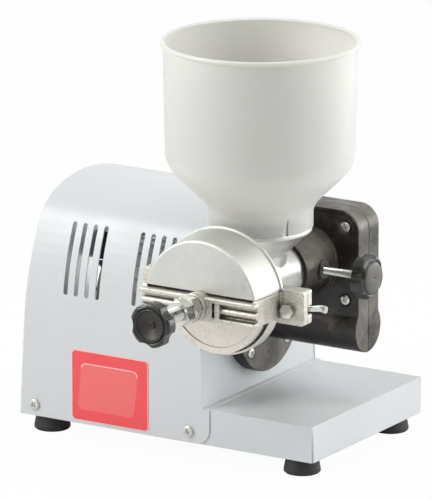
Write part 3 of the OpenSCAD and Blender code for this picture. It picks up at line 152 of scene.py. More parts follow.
class Mat:
    """A principled material with a few helpers for its texture nodes.

    Extra keywords are the shader's sockets, with _ for a space. Bump distances are metres.
    """

    def __init__(self, name, color, rough, metallic=0.0, **sockets):
        self.material = bpy.data.materials.new(name)
        self.material.use_nodes = True
        self.tree = self.material.node_tree
        self.shader = self.tree.nodes["Principled BSDF"]
        self.shader.inputs["Base Color"].default_value = color
        self.shader.inputs["Roughness"].default_value = rough
        self.shader.inputs["Metallic"].default_value = metallic
        for key, value in sockets.items():
            self.shader.inputs[key.replace("_", " ")].default_value = value
        self.coord = self.node("ShaderNodeTexCoord")
        self.normal = None

    def node(self, kind):
        return self.tree.nodes.new(kind)

    def link(self, a, b):
        self.tree.links.new(a, b)

    def noise(self, scale, detail, rough=0.5):
        n = self.node("ShaderNodeTexNoise")
        n.inputs["Scale"].default_value = scale
        n.inputs["Detail"].default_value = detail
        n.inputs["Roughness"].default_value = rough
        self.link(self.coord.outputs["Object"], n.inputs["Vector"])
        return n.outputs["Fac"]

    def ramp(self, value, stops):
        """Colours for a value; each stop is a value and the colour there."""
        r = self.node("ShaderNodeValToRGB")
        elements = r.color_ramp.elements
        elements[0].position, elements[0].color = stops[0]
        elements[1].position, elements[1].color = stops[-1]
        for position, color in stops[1:-1]:
            elements.new(position).color = color
        self.link(value, r.inputs["Fac"])
        return r.outputs["Color"]

    def multiplied(self, one, two):
        mix = self.node("ShaderNodeMix")
        mix.data_type = "RGBA"
        mix.blend_type = "MULTIPLY"
        mix.inputs["Factor"].default_value = 1
        colors = [i for i in mix.inputs if i.type == "RGBA"]
        self.link(one, colors[0])
        self.link(two, colors[1])
        return [o for o in mix.outputs if o.type == "RGBA"][0]

    def color_from(self, value, stops):
        self.link(self.ramp(value, stops), self.shader.inputs["Base Color"])

    def rough_from(self, value, low, high):
        """Roughness from low to high as a noise value grows."""
        m = self.node("ShaderNodeMapRange")
        m.inputs["From Min"].default_value = NOISE_LOW
        m.inputs["From Max"].default_value = NOISE_HIGH
        m.inputs["To Min"].default_value = low
        m.inputs["To Max"].default_value = high
        self.link(value, m.inputs["Value"])
        self.link(m.outputs["Result"], self.shader.inputs["Roughness"])

    def soft_edges(self, radius):
        """Rounds the shading at edges, by a radius in millimetres. Comes before bump()."""
        if radius:
            n = self.node("ShaderNodeBevel")
            n.samples = 4
            n.inputs["Radius"].default_value = radius * MM
            self.normal = n.outputs["Normal"]

    def bump(self, value, strength, distance):
        """Adds a bump to the ones before it."""
        n = self.node("ShaderNodeBump")
        n.inputs["Strength"].default_value = strength
        n.inputs["Distance"].default_value = distance
        self.link(value, n.inputs["Height"])
        if self.normal:
            self.link(self.normal, n.inputs["Normal"])
        self.normal = n.outputs["Normal"]
        self.link(self.normal, self.shader.inputs["Normal"])


def painted(name, color):
    """Powder coat on sheet metal, with a fine orange peel and slightly uneven sheet."""
    rough = 0.34
    m = Mat(name, color, rough, Coat_Weight=0.2, Coat_Roughness=0.25)
    m.color_from(m.noise(scale=6, detail=4), [(0.3, tint(color, 0.965)), (0.7, tint(color, 1.02))])
    m.rough_from(m.noise(scale=30, detail=5), low=rough - 0.05, high=rough + 0.07)
    m.soft_edges(0.5)
    m.bump(m.noise(scale=650, detail=2), strength=0.05, distance=0.0004)
    m.bump(m.noise(scale=9, detail=2), strength=0.1, distance=0.0012)
    return m.material


def casting(name, color, rough, grain, grain_scale, dark, metallic=1.0, edge=0.0):
    """Bare cast metal; dark tints its darkest spots, and grain is its bump's strength."""
    m = Mat(name, color, rough, metallic)
    m.color_from(m.noise(scale=45, detail=6, rough=0.6), [
        (0.28, tint(color, dark)), (0.52, color), (0.78, tint(color, 1.05))])
    m.rough_from(m.noise(scale=120, detail=6, rough=0.6), low=rough - 0.08, high=rough + 0.12)
    m.soft_edges(edge)
    m.bump(m.noise(scale=grain_scale, detail=5, rough=0.6), strength=grain, distance=0.0005)
    m.bump(m.noise(scale=60, detail=3), strength=grain * 0.4, distance=0.0014)
    return m.material


def rough_casting(name, color, speck=0.4, painted_crease_shade=0.45):
    """Sand-cast metal as it comes out of the mould: speckled and grainy, with painted shade
    darkening its creases.
    """
    m = Mat(name, color, 0.42, 0.85)
    speckle = m.ramp(m.noise(scale=520, detail=6, rough=0.75), [
        (0.34, tint(color, speck)), (0.43, tint(color, (1 + speck) / 1.6)),
        (0.6, tint(color, 1.06))])
    stain = m.ramp(m.noise(scale=60, detail=5, rough=0.6), [
        (0.32, (0.78, 0.76, 0.73, 1)), (0.5, WHITE)])
    # Painted shade: ambient occlusion darkens the colour in creases and recesses.
    near = m.node("ShaderNodeAmbientOcclusion")
    near.samples = 6
    near.inputs["Distance"].default_value = 7 * MM
    painted_shade = m.ramp(near.outputs["AO"], [
        (0.35, (painted_crease_shade, painted_crease_shade * 0.96, painted_crease_shade * 0.9, 1)), (0.85, WHITE)])
    m.link(m.multiplied(m.multiplied(speckle, stain), painted_shade), m.shader.inputs["Base Color"])
    m.rough_from(m.noise(scale=200, detail=5, rough=0.6), low=0.34, high=0.6)
    m.bump(m.noise(scale=560, detail=5, rough=0.7), strength=0.7 * (1 - speck), distance=0.0009)
    m.bump(m.noise(scale=70, detail=3), strength=0.3, distance=0.0016)
    return m.material


def case_black():
    """Black cast housing, with painted light: lighter where it faces right and up, towards the
    lamps, and mottled at random.
    """
    color = srgb(31, 28, 25)
    m = Mat("case_black", color, 0.34, IOR=1.45)
    # Painted light: the colour grows lighter as the surface turns right and up, towards the lamps;
    # noise adds random mottle.
    facing = m.node("ShaderNodeVectorMath")
    facing.operation = "DOT_PRODUCT"
    facing.inputs[1].default_value = (0.9, -0.12, 0.62)
    m.link(m.coord.outputs["Normal"], facing.inputs[0])
    painted_light_and_mottle = m.node("ShaderNodeMath")
    painted_light_and_mottle.operation = "MULTIPLY_ADD"
    painted_light_and_mottle.use_clamp = True
    painted_light_and_mottle.inputs[1].default_value = 0.3
    m.link(facing.outputs["Value"], painted_light_and_mottle.inputs[0])
    m.link(m.noise(scale=34, detail=7, rough=0.6), painted_light_and_mottle.inputs[2])
    m.color_from(painted_light_and_mottle.outputs[0], [
        (0.53, color), (0.64, srgb(52, 48, 43)), (0.78, srgb(98, 93, 86)),
        (0.96, srgb(122, 117, 110))])
    m.rough_from(m.noise(scale=36, detail=6, rough=0.6), low=0.26, high=0.5)
    m.bump(m.noise(scale=900, detail=3), strength=0.14, distance=0.0003)
    m.bump(m.noise(scale=50, detail=3), strength=0.2, distance=0.0012)
    return m.material


def turned_steel(name, color, rough, grain_scale=2500):
    """Machined or plated metal."""
    m = Mat(name, color, rough, 1.0)
    m.color_from(m.noise(scale=90, detail=4), [(0.3, tint(color, 0.92)), (0.7, tint(color, 1.03))])
    m.rough_from(m.noise(scale=300, detail=4), low=rough - 0.05, high=rough + 0.1)
    m.soft_edges(0.3)
    m.bump(m.noise(scale=grain_scale, detail=2), strength=0.05, distance=0.0001)
    return m.material


def moulded(name, color, rough, grain=0.12, grain_scale=1400, mottle=0.85, coat=0.0, edge=0.4):
    """Plastic or rubber; mottle tints its darker patches, and the lighter ones as much."""
    m = Mat(name, color, rough, Coat_Weight=coat, Coat_Roughness=0.3)
    m.color_from(m.noise(scale=40, detail=5), [
        (0.3, tint(color, mottle)), (0.7, tint(color, 2 - mottle))])
    m.rough_from(m.noise(scale=60, detail=5), low=rough - 0.07, high=rough + 0.09)
    m.soft_edges(edge)
    m.bump(m.noise(scale=grain_scale, detail=3), strength=grain, distance=0.0003)
    m.bump(m.noise(scale=45, detail=2), strength=grain * 1.2, distance=0.0012)
    return m.material


def knob_plastic(name, color, rough, mottle, coat=0.0):
    """The knobs' plastic; their pieces have real rounded edges, so its shading has none."""
    return moulded(name, color, rough, 0.06, 1500, mottle, coat, edge=0)


def printed(name, color):
    """Smooth printed foil."""
    m = Mat(name, color, 0.34)
    m.color_from(m.noise(scale=14, detail=2), [
        (0.35, tint(color, 0.985)), (0.65, tint(color, 1.015))])
    m.bump(m.noise(scale=900, detail=2), strength=0.03, distance=0.0002)
    return m.material


def hopper_plastic(name, color):
    """Milky plastic that lets a little light through."""
    m = Mat(name, color, 0.36, IOR=1.55, Subsurface_Weight=0.8, Subsurface_Scale=0.012,
            Subsurface_Radius=(1, 1, 0.92))
    m.color_from(m.noise(scale=8, detail=3), [(0.3, tint(color, 0.98)), (0.7, tint(color, 1.01))])
    m.rough_from(m.noise(scale=25, detail=4), low=0.3, high=0.42)
    m.bump(m.noise(scale=700, detail=2), strength=0.04, distance=0.0003)
    m.bump(m.noise(scale=14, detail=2), strength=0.08, distance=0.001)
    return m.material


SHEET = painted("sheet_paint", srgb(216, 219, 220))
RUBBER = moulded("foot_rubber", srgb(38, 38, 38), 0.62, grain=0.2)
TUMBLED = casting("tumbled_casting", srgb(207, 208, 203), 0.48, 0.05, 1200, 0.94, metallic=0.8)
CAST = casting("cast_body", srgb(210, 209, 204), 0.4, 0.12, 700, 0.84)
ROUGH_CAST = rough_casting("rough_casting", srgb(214, 210, 201), painted_crease_shade=0.3)
DISC_CAST = rough_casting("disc_casting", srgb(216, 211, 203), speck=0.66)
DISC_IRON = casting("disc_iron", srgb(168, 166, 160), 0.38, 0.2, 800, 0.75, edge=0.4)
ZINC = turned_steel("bright_zinc", srgb(214, 214, 210), 0.2)
STEEL = turned_steel("plain_steel", srgb(160, 160, 162), 0.3)
LAMINATION = turned_steel("laminations", srgb(96, 98, 102), 0.5, grain_scale=900)
BRONZE = turned_steel("bronze", srgb(186, 150, 90), 0.3)
COPPER = turned_steel("enamelled_copper", srgb(184, 104, 62), 0.35, grain_scale=1800)
BLACK_CASE = case_black()
KNOB_BLACK = knob_plastic("knob_black", srgb(34, 32, 29), 0.24, mottle=0.75, coat=0.3)
# A lighter grey copy of the knob's black: painted light for the clamp knob's face, which turns to
# the side lamp.
KNOB_FACE_PAINTED_LIGHT = knob_plastic("knob_face_painted_light", srgb(92, 89, 84), 0.38, mottle=0.8)
KNOB_DISH = knob_plastic("knob_dish", srgb(44, 41, 36), 0.42, mottle=0.7)
TRIM_BLACK = moulded("trim_black", srgb(40, 40, 41), 0.42)
MOTOR_PAINT = moulded("motor_paint", srgb(205, 208, 208), 0.45)
TERMINAL = moulded("terminal_block", srgb(225, 222, 208), 0.5)
WIRE = moulded("wire_cover", srgb(60, 62, 66), 0.45)
CAN = turned_steel("capacitor_can", srgb(195, 197, 200), 0.35)
LABEL_RED = printed("label_red", srgb(246, 81, 86))
LABEL_PANEL = printed("label_panel", srgb(246, 112, 112))
LABEL_PALE = printed("label_pale", srgb(246, 205, 204))
HOPPER = hopper_plastic("hopper_plastic", srgb(218, 217, 211))

node_materials = {
    "base_tray": SHEET, "bottom_plate": SHEET, "rubber_feet": RUBBER, "foot_screws": ZINC,
    "foot_nuts": ZINC, "cabinet_cover": SHEET, "left_panel": SHEET, "right_panel": SHEET,
    "cover_screws": ZINC, "label_plate": LABEL_RED, "switch_frame": TRIM_BLACK,
    "switch_rocker": TRIM_BLACK, "cord_gland": TRIM_BLACK, "terminal_block": TERMINAL,
    "leads": WIRE, "capacitor": CAN, "capacitor_clip": ZINC, "motor_shell": MOTOR_PAINT,
    "stator_core": LAMINATION, "stator_windings": COPPER, "left_end_bell": DISC_IRON,
    "right_end_bell": DISC_IRON, "motor_bearings": STEEL, "rotor_core": LAMINATION,
    "motor_shaft": STEEL, "cooling_fan": TRIM_BLACK, "motor_cradle": SHEET,
    "cradle_screws": ZINC, "gearbox_flange": BLACK_CASE, "flange_screws": ZINC,
    "gearbox_front": BLACK_CASE, "gearbox_back": BLACK_CASE, "gearbox_screws": ZINC,
    "worm": BRONZE, "worm_bearings": STEEL, "worm_wheel": BRONZE, "wheel_shaft": STEEL,
    "wheel_bearings": STEEL, "shaft_seal": RUBBER, "mill_body": CAST, "barrel_bush": BRONZE,
    "auger": DISC_IRON, "fixed_disc": DISC_IRON, "disc_screws": ZINC,
    "turning_disc": DISC_CAST, "disc_hood": TUMBLED, "yoke": ROUGH_CAST, "lug_bolts": ZINC,
    "wing_nut_left": ZINC, "wing_nut_right": ZINC, "lock_nut": ZINC,
    "adjusting_screw": ZINC, "adjusting_knob": KNOB_BLACK, "thrust_pad": BRONZE,
    "clamp_screw": ZINC, "clamp_knob": KNOB_BLACK, "clamp_pad": BRONZE, "hopper": HOPPER,
}
for name, material in node_materials.items():
    mesh = nodes[name].data
    mesh.materials.clear()
    mesh.materials.append(material)

# ---------------------------------------------------------------- shape helpers

FILLET_STEPS = 5
CORNER_STEPS = 8
POINT_R = 1e-4            # a ring smaller than this is one point on the axis


def turned(centre, along, zero):
    """A place function: s runs along the axis, r outwards, and angle 0 lies along zero."""
    centre, along, zero = Vector(centre), Vector(along), Vector(zero)
    side = along.cross(zero)

    def place(r, a, s):
        return at(*(centre + along * s + (zero * math.cos(a) + side * math.sin(a)) * r))
    return place


def pairs(points):
    return [(p.x, p.y) for p in points]


def fillet(before, here, after, radius, steps):
    """Points on the arc that rounds the corner at here, from one side to the other."""
    a = (before - here).normalized()
    b = (after - here).normalized()
    half = a.angle(b) / 2
    centre = here + (a + b).normalized() * radius / math.sin(half)
    u = here + a * radius / math.tan(half) - centre
    v = here + b * radius / math.tan(half) - centre
    turn = u.angle(v)
    out = []
    for k in range(steps + 1):
        t = k / steps * turn
        out.append(centre + (u * math.sin(turn - t) + v * math.sin(t)) / math.sin(turn))
    return out


def rounded(points):
    """Profile points; a third value is the radius of a fillet there."""
    out = [Vector(points[0][:2])]
    for before, point, after in zip(points, points[1:], points[2:]):
        here = Vector(point[:2])
        if len(point) < 3:
            out.append(here)
        else:
            out += fillet(Vector(before[:2]), here, Vector(after[:2]), point[2], FILLET_STEPS)
    out.append(Vector(points[-1][:2]))
    return out


def spline(points, share):
    """A point on the smooth curve through the given points, for a share from 0 to 1."""
    place = share * (len(points) - 1)
    k = min(int(place), len(points) - 2)
    t = place - k
    p = [Vector(points[min(max(k + i, 0), len(points) - 1)]) for i in (-1, 0, 1, 2)]
    return 0.5 * (2 * p[1] + (p[2] - p[0]) * t
                  + (2 * p[0] - 5 * p[1] + 4 * p[2] - p[3]) * t ** 2
                  + (3 * p[1] - 3 * p[2] + p[3] - p[0]) * t ** 3)


def bridge(bm, one, two):
    """Faces between two rings of vertices; a ring of one vertex is a point on the axis."""
    count = max(len(one), len(two))
    for k in range(count):
        n = (k + 1) % count
        corners = [one[k % len(one)], one[n % len(one)], two[n % len(two)], two[k % len(two)]]
        bm.faces.new(dict.fromkeys(corners))


def ring(bm, place, radius, s, steps, shape):
    if radius < POINT_R:
        return [bm.verts.new(place(0, 0, s))]
    out = []
    for k in range(steps):
        a = TURN * k / steps
        r, ds = shape(radius, a, s) if shape else (radius, 0)
        out.append(bm.verts.new(place(r, a, s + ds)))
    return out


def revolve(bm, place, profile, steps, shape=None, closed=False):
    """Turns profile points (radius, along) round an axis.

    shape(radius, angle, along) gives a point's new radius and how far it moves along.
    """
    rings = [ring(bm, place, r, s, steps, shape) for r, s in profile]
    for one, two in zip(rings, rings[1:]):
        bridge(bm, one, two)
    if closed:
        bridge(bm, rings[-1], rings[0])


def piece(name, bm, material, body, replaced, sharp=35):
    """Makes a piece of the mesh, puts it on its body, and has it stand for a CAD node.

    Edges that turn by more than sharp, in degrees, are shaded sharp.
    """
    bmesh.ops.recalc_face_normals(bm, faces=bm.faces)
    mesh = bpy.data.meshes.new(name)
    bm.to_mesh(mesh)
    bm.free()
    mesh.shade_smooth()
    mesh.set_sharp_from_angle(angle=math.radians(sharp))
    for m in material if isinstance(material, list) else [material]:
        mesh.materials.append(m)
    obj = bpy.data.objects.new(name, mesh)
    bpy.context.collection.objects.link(obj)
    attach(obj, body)
    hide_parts(replaced)
    return obj


# ---------------------------------------------------------------- castings

WELD_DISTANCE = 0.00001
SMOOTH_FACTOR = 0.5


def softened(node, voxel, passes):
    """Rounds a casting's edges: its shell is rebuilt on a fine grid and smoothed."""
    weld = nodes[node].modifiers.new("weld", "WELD")
    weld.merge_threshold = WELD_DISTANCE
    grid = nodes[node].modifiers.new("grid", "REMESH")
    grid.mode = "VOXEL"
    grid.voxel_size = voxel * MM
    grid.use_smooth_shade = True
    smooth = nodes[node].modifiers.new("smooth", "SMOOTH")
    smooth.factor = SMOOTH_FACTOR
    smooth.iterations = passes


softened("disc_hood", voxel=0.4, passes=2)
softened("yoke", voxel=0.6, passes=5)
softened("mill_body", voxel=0.75, passes=3)
softened("gearbox_front", voxel=0.7, passes=3)
softened("gearbox_back", voxel=0.8, passes=3)
softened("gearbox_flange", voxel=0.7, passes=2)

# ---------------------------------------------------------------- star knobs

KNOB_R = 22.5
KNOB_STEPS = 180
LOBES = 5
NOTCH_D = 3.1             # how deep each notch cuts into the outline
NOTCH_R = 11.6            # the radius of the notch itself
NOTCH_BLEND = 1.6         # how near the corner between notch and lobe the outline is rounded
ROUND_R = 17.4            # rings inside this radius stay round
RIM_TOP, RIM_FOOT = 3.3, 5.4      # where the upright rim starts, from the face and the back
RIM_STEPS = 8
HUB_R, HUB_H = KNOB_R * 0.62, 3   # the collar behind the rim


def star_shape(phase):
    """Pulls rings near the rim into lobes, with softly rounded corners at each notch."""
    notch_centre = KNOB_R - NOTCH_D + NOTCH_R
    pitch = TURN / LOBES

    def shape(radius, a, s):
        if radius < ROUND_R:
            return radius, 0
        off = (a - phase + pitch / 2) % pitch - pitch / 2
        reach = NOTCH_R ** 2 - (notch_centre * math.sin(off)) ** 2
        if reach <= 0:
            return radius, 0
        hit = notch_centre * math.cos(off) - math.sqrt(reach)
        gap = max(NOTCH_BLEND - abs(KNOB_R - hit), 0)
        edge = min(KNOB_R, hit) - gap * gap / NOTCH_BLEND / 4
        return ROUND_R + (radius - ROUND_R) * (edge - ROUND_R) / (KNOB_R - ROUND_R), 0
    return shape


def star_knob(name, place, phase, face, middle_rings, middle, length, hole_r, hole_l):
    """A moulded star knob. Profile points are a radius and a distance behind its place.

    face is its front profile, whose first rings, middle_rings of them, take the middle material.
    """
    rim = [(KNOB_R - 2.0, 0.95), (KNOB_R - 1.1, 1.4), (KNOB_R - 0.4, 2.2), (KNOB_R, RIM_TOP)]
    for k in range(1, RIM_STEPS):
        rim.append((KNOB_R, RIM_TOP + k * (length - RIM_TOP - RIM_FOOT) / RIM_STEPS))
    tail = rounded([
        (KNOB_R, length - RIM_FOOT), (KNOB_R, length - HUB_H, 1.4),
        (HUB_R, length - HUB_H, 0.8), (HUB_R, length, 0.8), (hole_r, length),
        (hole_r, length - hole_l), (0, length - hole_l)])
    bm = bmesh.new()
    revolve(bm, place, face + rim + pairs(tail), KNOB_STEPS, star_shape(phase))
    bm.faces.ensure_lookup_table()
    for middle_face in bm.faces[:middle_rings * KNOB_STEPS]:
        middle_face.material_index = 1
    piece(name, bm, [KNOB_BLACK, middle], nodes[name]["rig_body"], name)


knob_lo, knob_hi = span("adjusting_knob")
adjusting_face = [
    (0, 5.6), (0.8, 5.4), (1.2, 4.7), (2.0, 4.5), (2.9, 4.7), (3.4, 5.7), (4.2, 6.0),
    (9, 4.2), (13.4, 2.3), (14.4, 1.7), (14.9, 0.7), (15.3, 0.12), (15.8, 0.0), (16.3, 0.2),
    (16.7, 1.3), (17.2, 1.7), (17.7, 1.3), (18.2, 0.8), (19.0, 0.6), (19.6, 0.62)]
star_knob("adjusting_knob", turned((mill_x, knob_lo.y, mill_z), REAR, RIGHT),
          phase=math.radians(-40), face=adjusting_face, middle_rings=11, middle=KNOB_DISH,
          length=knob_hi.y - knob_lo.y, hole_r=8, hole_l=8)

CAP_RISE = 2.5            # how far the clamp knob's middle stands out
clamp_lo, clamp_hi = span("clamp_knob")
pin_lo, pin_hi = span("clamp_screw")
clamp_y = (pin_lo.y + pin_hi.y) / 2
clamp_face = [
    (0, 0.9 - CAP_RISE), (0.5, 0.9 - CAP_RISE), (0.9, 0.3 - CAP_RISE), (1.6, -CAP_RISE),
    (6, 0.04 - CAP_RISE), (11, 0.35 - CAP_RISE), (14, 0.8 - CAP_RISE), (15.4, 1.3 - CAP_RISE),
    (16.1, -0.3), (16.5, 0.7), (17.0, 1.0), (17.6, 0.5), (18.2, 0.08), (19.0, 0.0), (19.6, 0.1)]
# The clamp knob's face is painted lighter, as the side lamp would light it.
star_knob("clamp_knob", turned((clamp_hi.x - CAP_RISE, clamp_y, mill_z), LEFT, REAR),
          phase=math.radians(-15), face=clamp_face, middle_rings=8, middle=KNOB_FACE_PAINTED_LIGHT,
          length=clamp_hi.x - clamp_lo.x - CAP_RISE, hole_r=4, hole_l=10)

# ---------------------------------------------------------------- threads

THREAD_ROWS = 8           # rings for each pitch
THREAD_STEPS = 56
FLANK = 2.6               # how steeply the thread's flanks rise, so that its crest is flat


def threaded(name, place, length, radius, pitch, depth, chamfer):
    """A screw with a helical thread over its whole length and a chamfer at both ends."""
    rows = int(length / pitch * THREAD_ROWS)

    def shape(r, a, s):
        turn = (s / pitch - a / TURN) % 1
        cut = depth * min(abs(turn - 0.5) * FLANK, 1)
        end = max(chamfer - min(s, length - s), 0)
        return r - max(cut, end), 0
    profile = [(0, 0)] + [(radius, length * k / rows) for k in range(rows + 1)] + [(0, length)]
    bm = bmesh.new()
    revolve(bm, place, profile, THREAD_STEPS, shape)
    piece(name, bm, ZINC, nodes[name]["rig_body"], name, sharp=60)


threaded("adjusting_screw", turned((mill_x, screw_lo.y, mill_z), REAR, RIGHT),
         screw_hi.y - screw_lo.y, radius=8, pitch=2, depth=1.1, chamfer=1.0)
threaded("clamp_screw", turned((pin_lo.x, clamp_y, mill_z), RIGHT, REAR),
         pin_hi.x - pin_lo.x, radius=4, pitch=1.25, depth=0.65, chamfer=0.6)

# ---------------------------------------------------------------- cross-head screws

DOME_RINGS = 12
HEAD_STEPS = 64
CROSS_REACH = 0.5         # half the cross's span, as a share of the head's radius
CROSS_ARM = 0.2           # half an arm's width, as a share of half the span
CROSS_DEPTH = 0.7         # as a share of the head's height
TIP_CHAMFER = 0.4
COVER_SCREW_X, COVER_SCREW_Z = (17.6, 201.2), 28.8
GEAR_SCREW_DX, GEAR_SCREW_DZ = 45, (-36, 39)      # from the mill's axis
GEAR_HEAD_H = 2.8
FLANGE_SCREW_R = 49.5     # the circle that the flange's screws lie on
FLANGE_HEAD_H = 3.2


def clamped(value):
    return min(max(value, 0), 1)


def recess_shape(radius, size, depth):
    """Sinks a cross into a screw's head; size is half the cross's span."""
    def shape(r, a, s):
        if s > 0 or r > radius * 0.9:
            return r, 0
        u, v = abs(r * math.cos(a)), abs(r * math.sin(a))
        across = min(u, v) / (CROSS_ARM * size)
        reach = max(u, v) / size
        return r, depth * (clamped(2.2 - across * 1.4) * clamped((1.05 - reach) * 5))
    return shape


def head_screw(bm, place, radius, height, shank_r, shank_l):
    """A domed head with a cross recess; s is 0 under the head and grows along the shank."""
    profile = []
    for k in range(DOME_RINGS + 1):
        share = k / DOME_RINGS
        profile.append((radius * 0.93 * share, -height * (1 - 0.3 * share ** 2)))
    profile += [
        (radius * 0.985, -height * 0.55), (radius, -height * 0.4), (radius, -height * 0.1),
        (radius * 0.97, 0), (shank_r, 0), (shank_r, shank_l - TIP_CHAMFER),
        (shank_r - TIP_CHAMFER, shank_l), (0, shank_l)]
    revolve(bm, place, profile, HEAD_STEPS,
            recess_shape(radius, radius * CROSS_REACH, height * CROSS_DEPTH))


def screw_set(name, places, radius, height, shank_r, shank_l):
    """Screws at places; each is where the head sits, and which way the shank and the cross go."""
    bm = bmesh.new()
    for centre, along, cross in places:
        head_screw(bm, turned(centre, along, cross), radius, height, shank_r, shank_l)
    piece(name, bm, ZINC, nodes[name]["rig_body"], name, sharp=50)


def cover_places():
    cover_d = span("cabinet_cover")[1].y
    out = []
    for x in COVER_SCREW_X:
        out.append(((x, 0, COVER_SCREW_Z), REAR, (0.8, 0, 0.6)))
        out.append(((x, cover_d, COVER_SCREW_Z), FRONT, (0.6, 0, 0.8)))
    return out


def gearbox_places(head_y):
    out = []
    for side in (-1, 1):
        for dz in GEAR_SCREW_DZ:
            centre = (mill_x + side * GEAR_SCREW_DX, head_y, mill_z + dz)
            out.append((centre, REAR, (0.9, 0, 0.436 * side)))
    return out


def flange_places(lo, hi):
    mid_y, mid_z = (lo.y + hi.y) / 2, (lo.z + hi.z) / 2
    out = []
    for k in range(4):
        a = TURN * (k + 0.5) / 4
        centre = (hi.x - FLANGE_HEAD_H, mid_y + FLANGE_SCREW_R * math.cos(a),
                  mid_z + FLANGE_SCREW_R * math.sin(a))
        out.append((centre, LEFT, (0, 0.8, 0.6)))
    return out


gear_lo, gear_hi = span("gearbox_screws")
flange_lo, flange_hi = span("flange_screws")
screw_set("cover_screws", cover_places(), radius=5.7, height=3.2, shank_r=3, shank_l=10)
screw_set("gearbox_screws", gearbox_places(gear_lo.y + GEAR_HEAD_H), radius=5.3,
          height=GEAR_HEAD_H, shank_r=2, shank_l=gear_hi.y - gear_lo.y - GEAR_HEAD_H)
screw_set("flange_screws", flange_places(flange_lo, flange_hi), radius=5.6,
          height=FLANGE_HEAD_H, shank_r=2.9, shank_l=flange_hi.x - flange_lo.x - FLANGE_HEAD_H)

# ---------------------------------------------------------------- wing nuts

EAR_PATH = ((4, 4.6), (8, 5.2), (11.5, 7.2), (14, 10.6), (16.2, 14), (18.8, 16), (21.6, 16.2),
            (23.6, 14.8))     # outwards from the axis, and forwards
EAR_TILT = math.radians(9)
EAR_RINGS = 28
EAR_STEPS = 20
EAR_SQUARE = 0.7          # below 1 the section is squarer than an ellipse
EAR_END = 0.07            # the share of its length over which the ear's end is rounded
POINT_END = 0.05          # a ring narrower than this share is one point
HUB_PROFILE = [(0, 9), (5, 9), (6.4, 8.4, 0.8), (8, 2, 1.2), (8, 0, 0.5), (0, 0)]
HUB_STEPS = 48

bolts_lo, bolts_hi = span("lug_bolts")
bolt_dz = (bolts_lo.z + bolts_hi.z) / 2 - mill_z


def squared(value):
    return math.copysign(abs(value) ** EAR_SQUARE, value)


def ear_ring(bm, x, y, side, share):
    """One ring of an ear's vertices, at a share of the way along it."""
    here = spline(EAR_PATH, share)
    t = spline(EAR_PATH, min(share + 0.02, 1)) - spline(EAR_PATH, max(share - 0.02, 0))
    across = Vector((-t.y, t.x)).normalized()
    end = math.sqrt(max(1 - max((share - (1 - EAR_END)) / EAR_END, 0) ** 2, 0))
    half_t = (1.5 + 0.9 * share) * end
    half_w = (2.6 + 1.2 * share) * end
    loop = []
    for i in range(EAR_STEPS):
        a = TURN * i / EAR_STEPS
        p = here + across * half_t * squared(math.cos(a))
        z = half_w * squared(math.sin(a))
        u = side * p.x
        loop.append(at(x + u * math.cos(EAR_TILT) + z * math.sin(EAR_TILT), y + p.y,
                       mill_z + bolt_dz - u * math.sin(EAR_TILT) + z * math.cos(EAR_TILT)))
    if end < POINT_END:
        loop = loop[:1]
    return [bm.verts.new(p) for p in loop]


def ear(bm, x, y, side):
    """One ear of a wing nut: a rounded bar that sweeps back and curls at its end."""
    rings = [ear_ring(bm, x, y, side, k / EAR_RINGS) for k in range(EAR_RINGS + 1)]
    bm.faces.new(rings[0])
    for one, two in zip(rings, rings[1:]):
        bridge(bm, one, two)


def wing_nut(name):
    lo, hi = span(name)
    x = (lo.x + hi.x) / 2
    bm = bmesh.new()
    revolve(bm, turned((x, lo.y, mill_z + bolt_dz), REAR, RIGHT), pairs(rounded(HUB_PROFILE)),
            HUB_STEPS)
    for side in (-1, 1):
        ear(bm, x, lo.y, side)
    piece(name, bm, ZINC, nodes[name]["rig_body"], name)


wing_nut("wing_nut_left")
wing_nut("wing_nut_right")

# ---------------------------------------------------------------- hopper

hopper_lo, hopper_hi = span("hopper")
hopper_y = (hopper_lo.y + hopper_hi.y) / 2
WALL = 2.4
NECK_R, NECK_H = 52.5, 16
NECK_EDGE = 0.4           # the chamfer at the neck's lower edge
SHOULDER_H = 57
HOPPER_R = 96
DRAFT = 2.2               # how far the side leans out on its way up
BEAD_R, BEAD_OUT = 2.4, 0.3
BEAD_FROM, BEAD_SWEEP = -100, 220      # the bead's arc in degrees; 0 is straight outwards
BEAD_STEPS = 12
CURVE_STEPS = 80
SIDE_STEPS = 8
HOPPER_STEPS = 160
# The shoulder's outline, as shares of the way out and up
SHOULDER = ((0, 0), (0.02, 0.05), (0.06, 0.12), (0.12, 0.19), (0.2, 0.255), (0.29, 0.32),
            (0.38, 0.385), (0.47, 0.45), (0.56, 0.512), (0.65, 0.575), (0.735, 0.64),
            (0.81, 0.7), (0.875, 0.765), (0.925, 0.83), (0.962, 0.89), (0.985, 0.945), (1, 1))
NOTCH_ANGLE = math.radians(60)         # from the front towards the right
NOTCH_SHAPE = ((-2.6, -1), (2.6, -1), (3.2, 17), (1.64, 17))      # sideways, and up the neck
NOTCH_INSIDE, NOTCH_OUTSIDE = 6, 3     # how far the cutter reaches past the neck's surface


def hopper_outside(top):
    """The shoulder's curve, and the profile from the neck's foot up to the bead."""
    shoulder_r = HOPPER_R - DRAFT
    curve = []
    for k in range(CURVE_STEPS + 1):
        p = spline(SHOULDER, k / CURVE_STEPS)
        curve.append(Vector((NECK_R + (shoulder_r - NECK_R) * p.x, NECK_H + SHOULDER_H * p.y)))
    side_h = top - BEAD_R - NECK_H - SHOULDER_H
    outer = [Vector((NECK_R, NECK_EDGE)), Vector((NECK_R, NECK_H / 2))] + curve
    for k in range(1, SIDE_STEPS + 1):
        outer.append(Vector((shoulder_r + DRAFT * k / SIDE_STEPS,
                             NECK_H + SHOULDER_H + side_h * k / SIDE_STEPS)))
    return curve, outer


def hopper_bead(top):
    """The rolled rim."""
    out = []
    for k in range(BEAD_STEPS + 1):
        a = math.radians(BEAD_FROM + BEAD_SWEEP * k / BEAD_STEPS)
        out.append(Vector((HOPPER_R + BEAD_OUT + BEAD_R * math.cos(a),
                           top + BEAD_R * math.sin(a))))
    return out


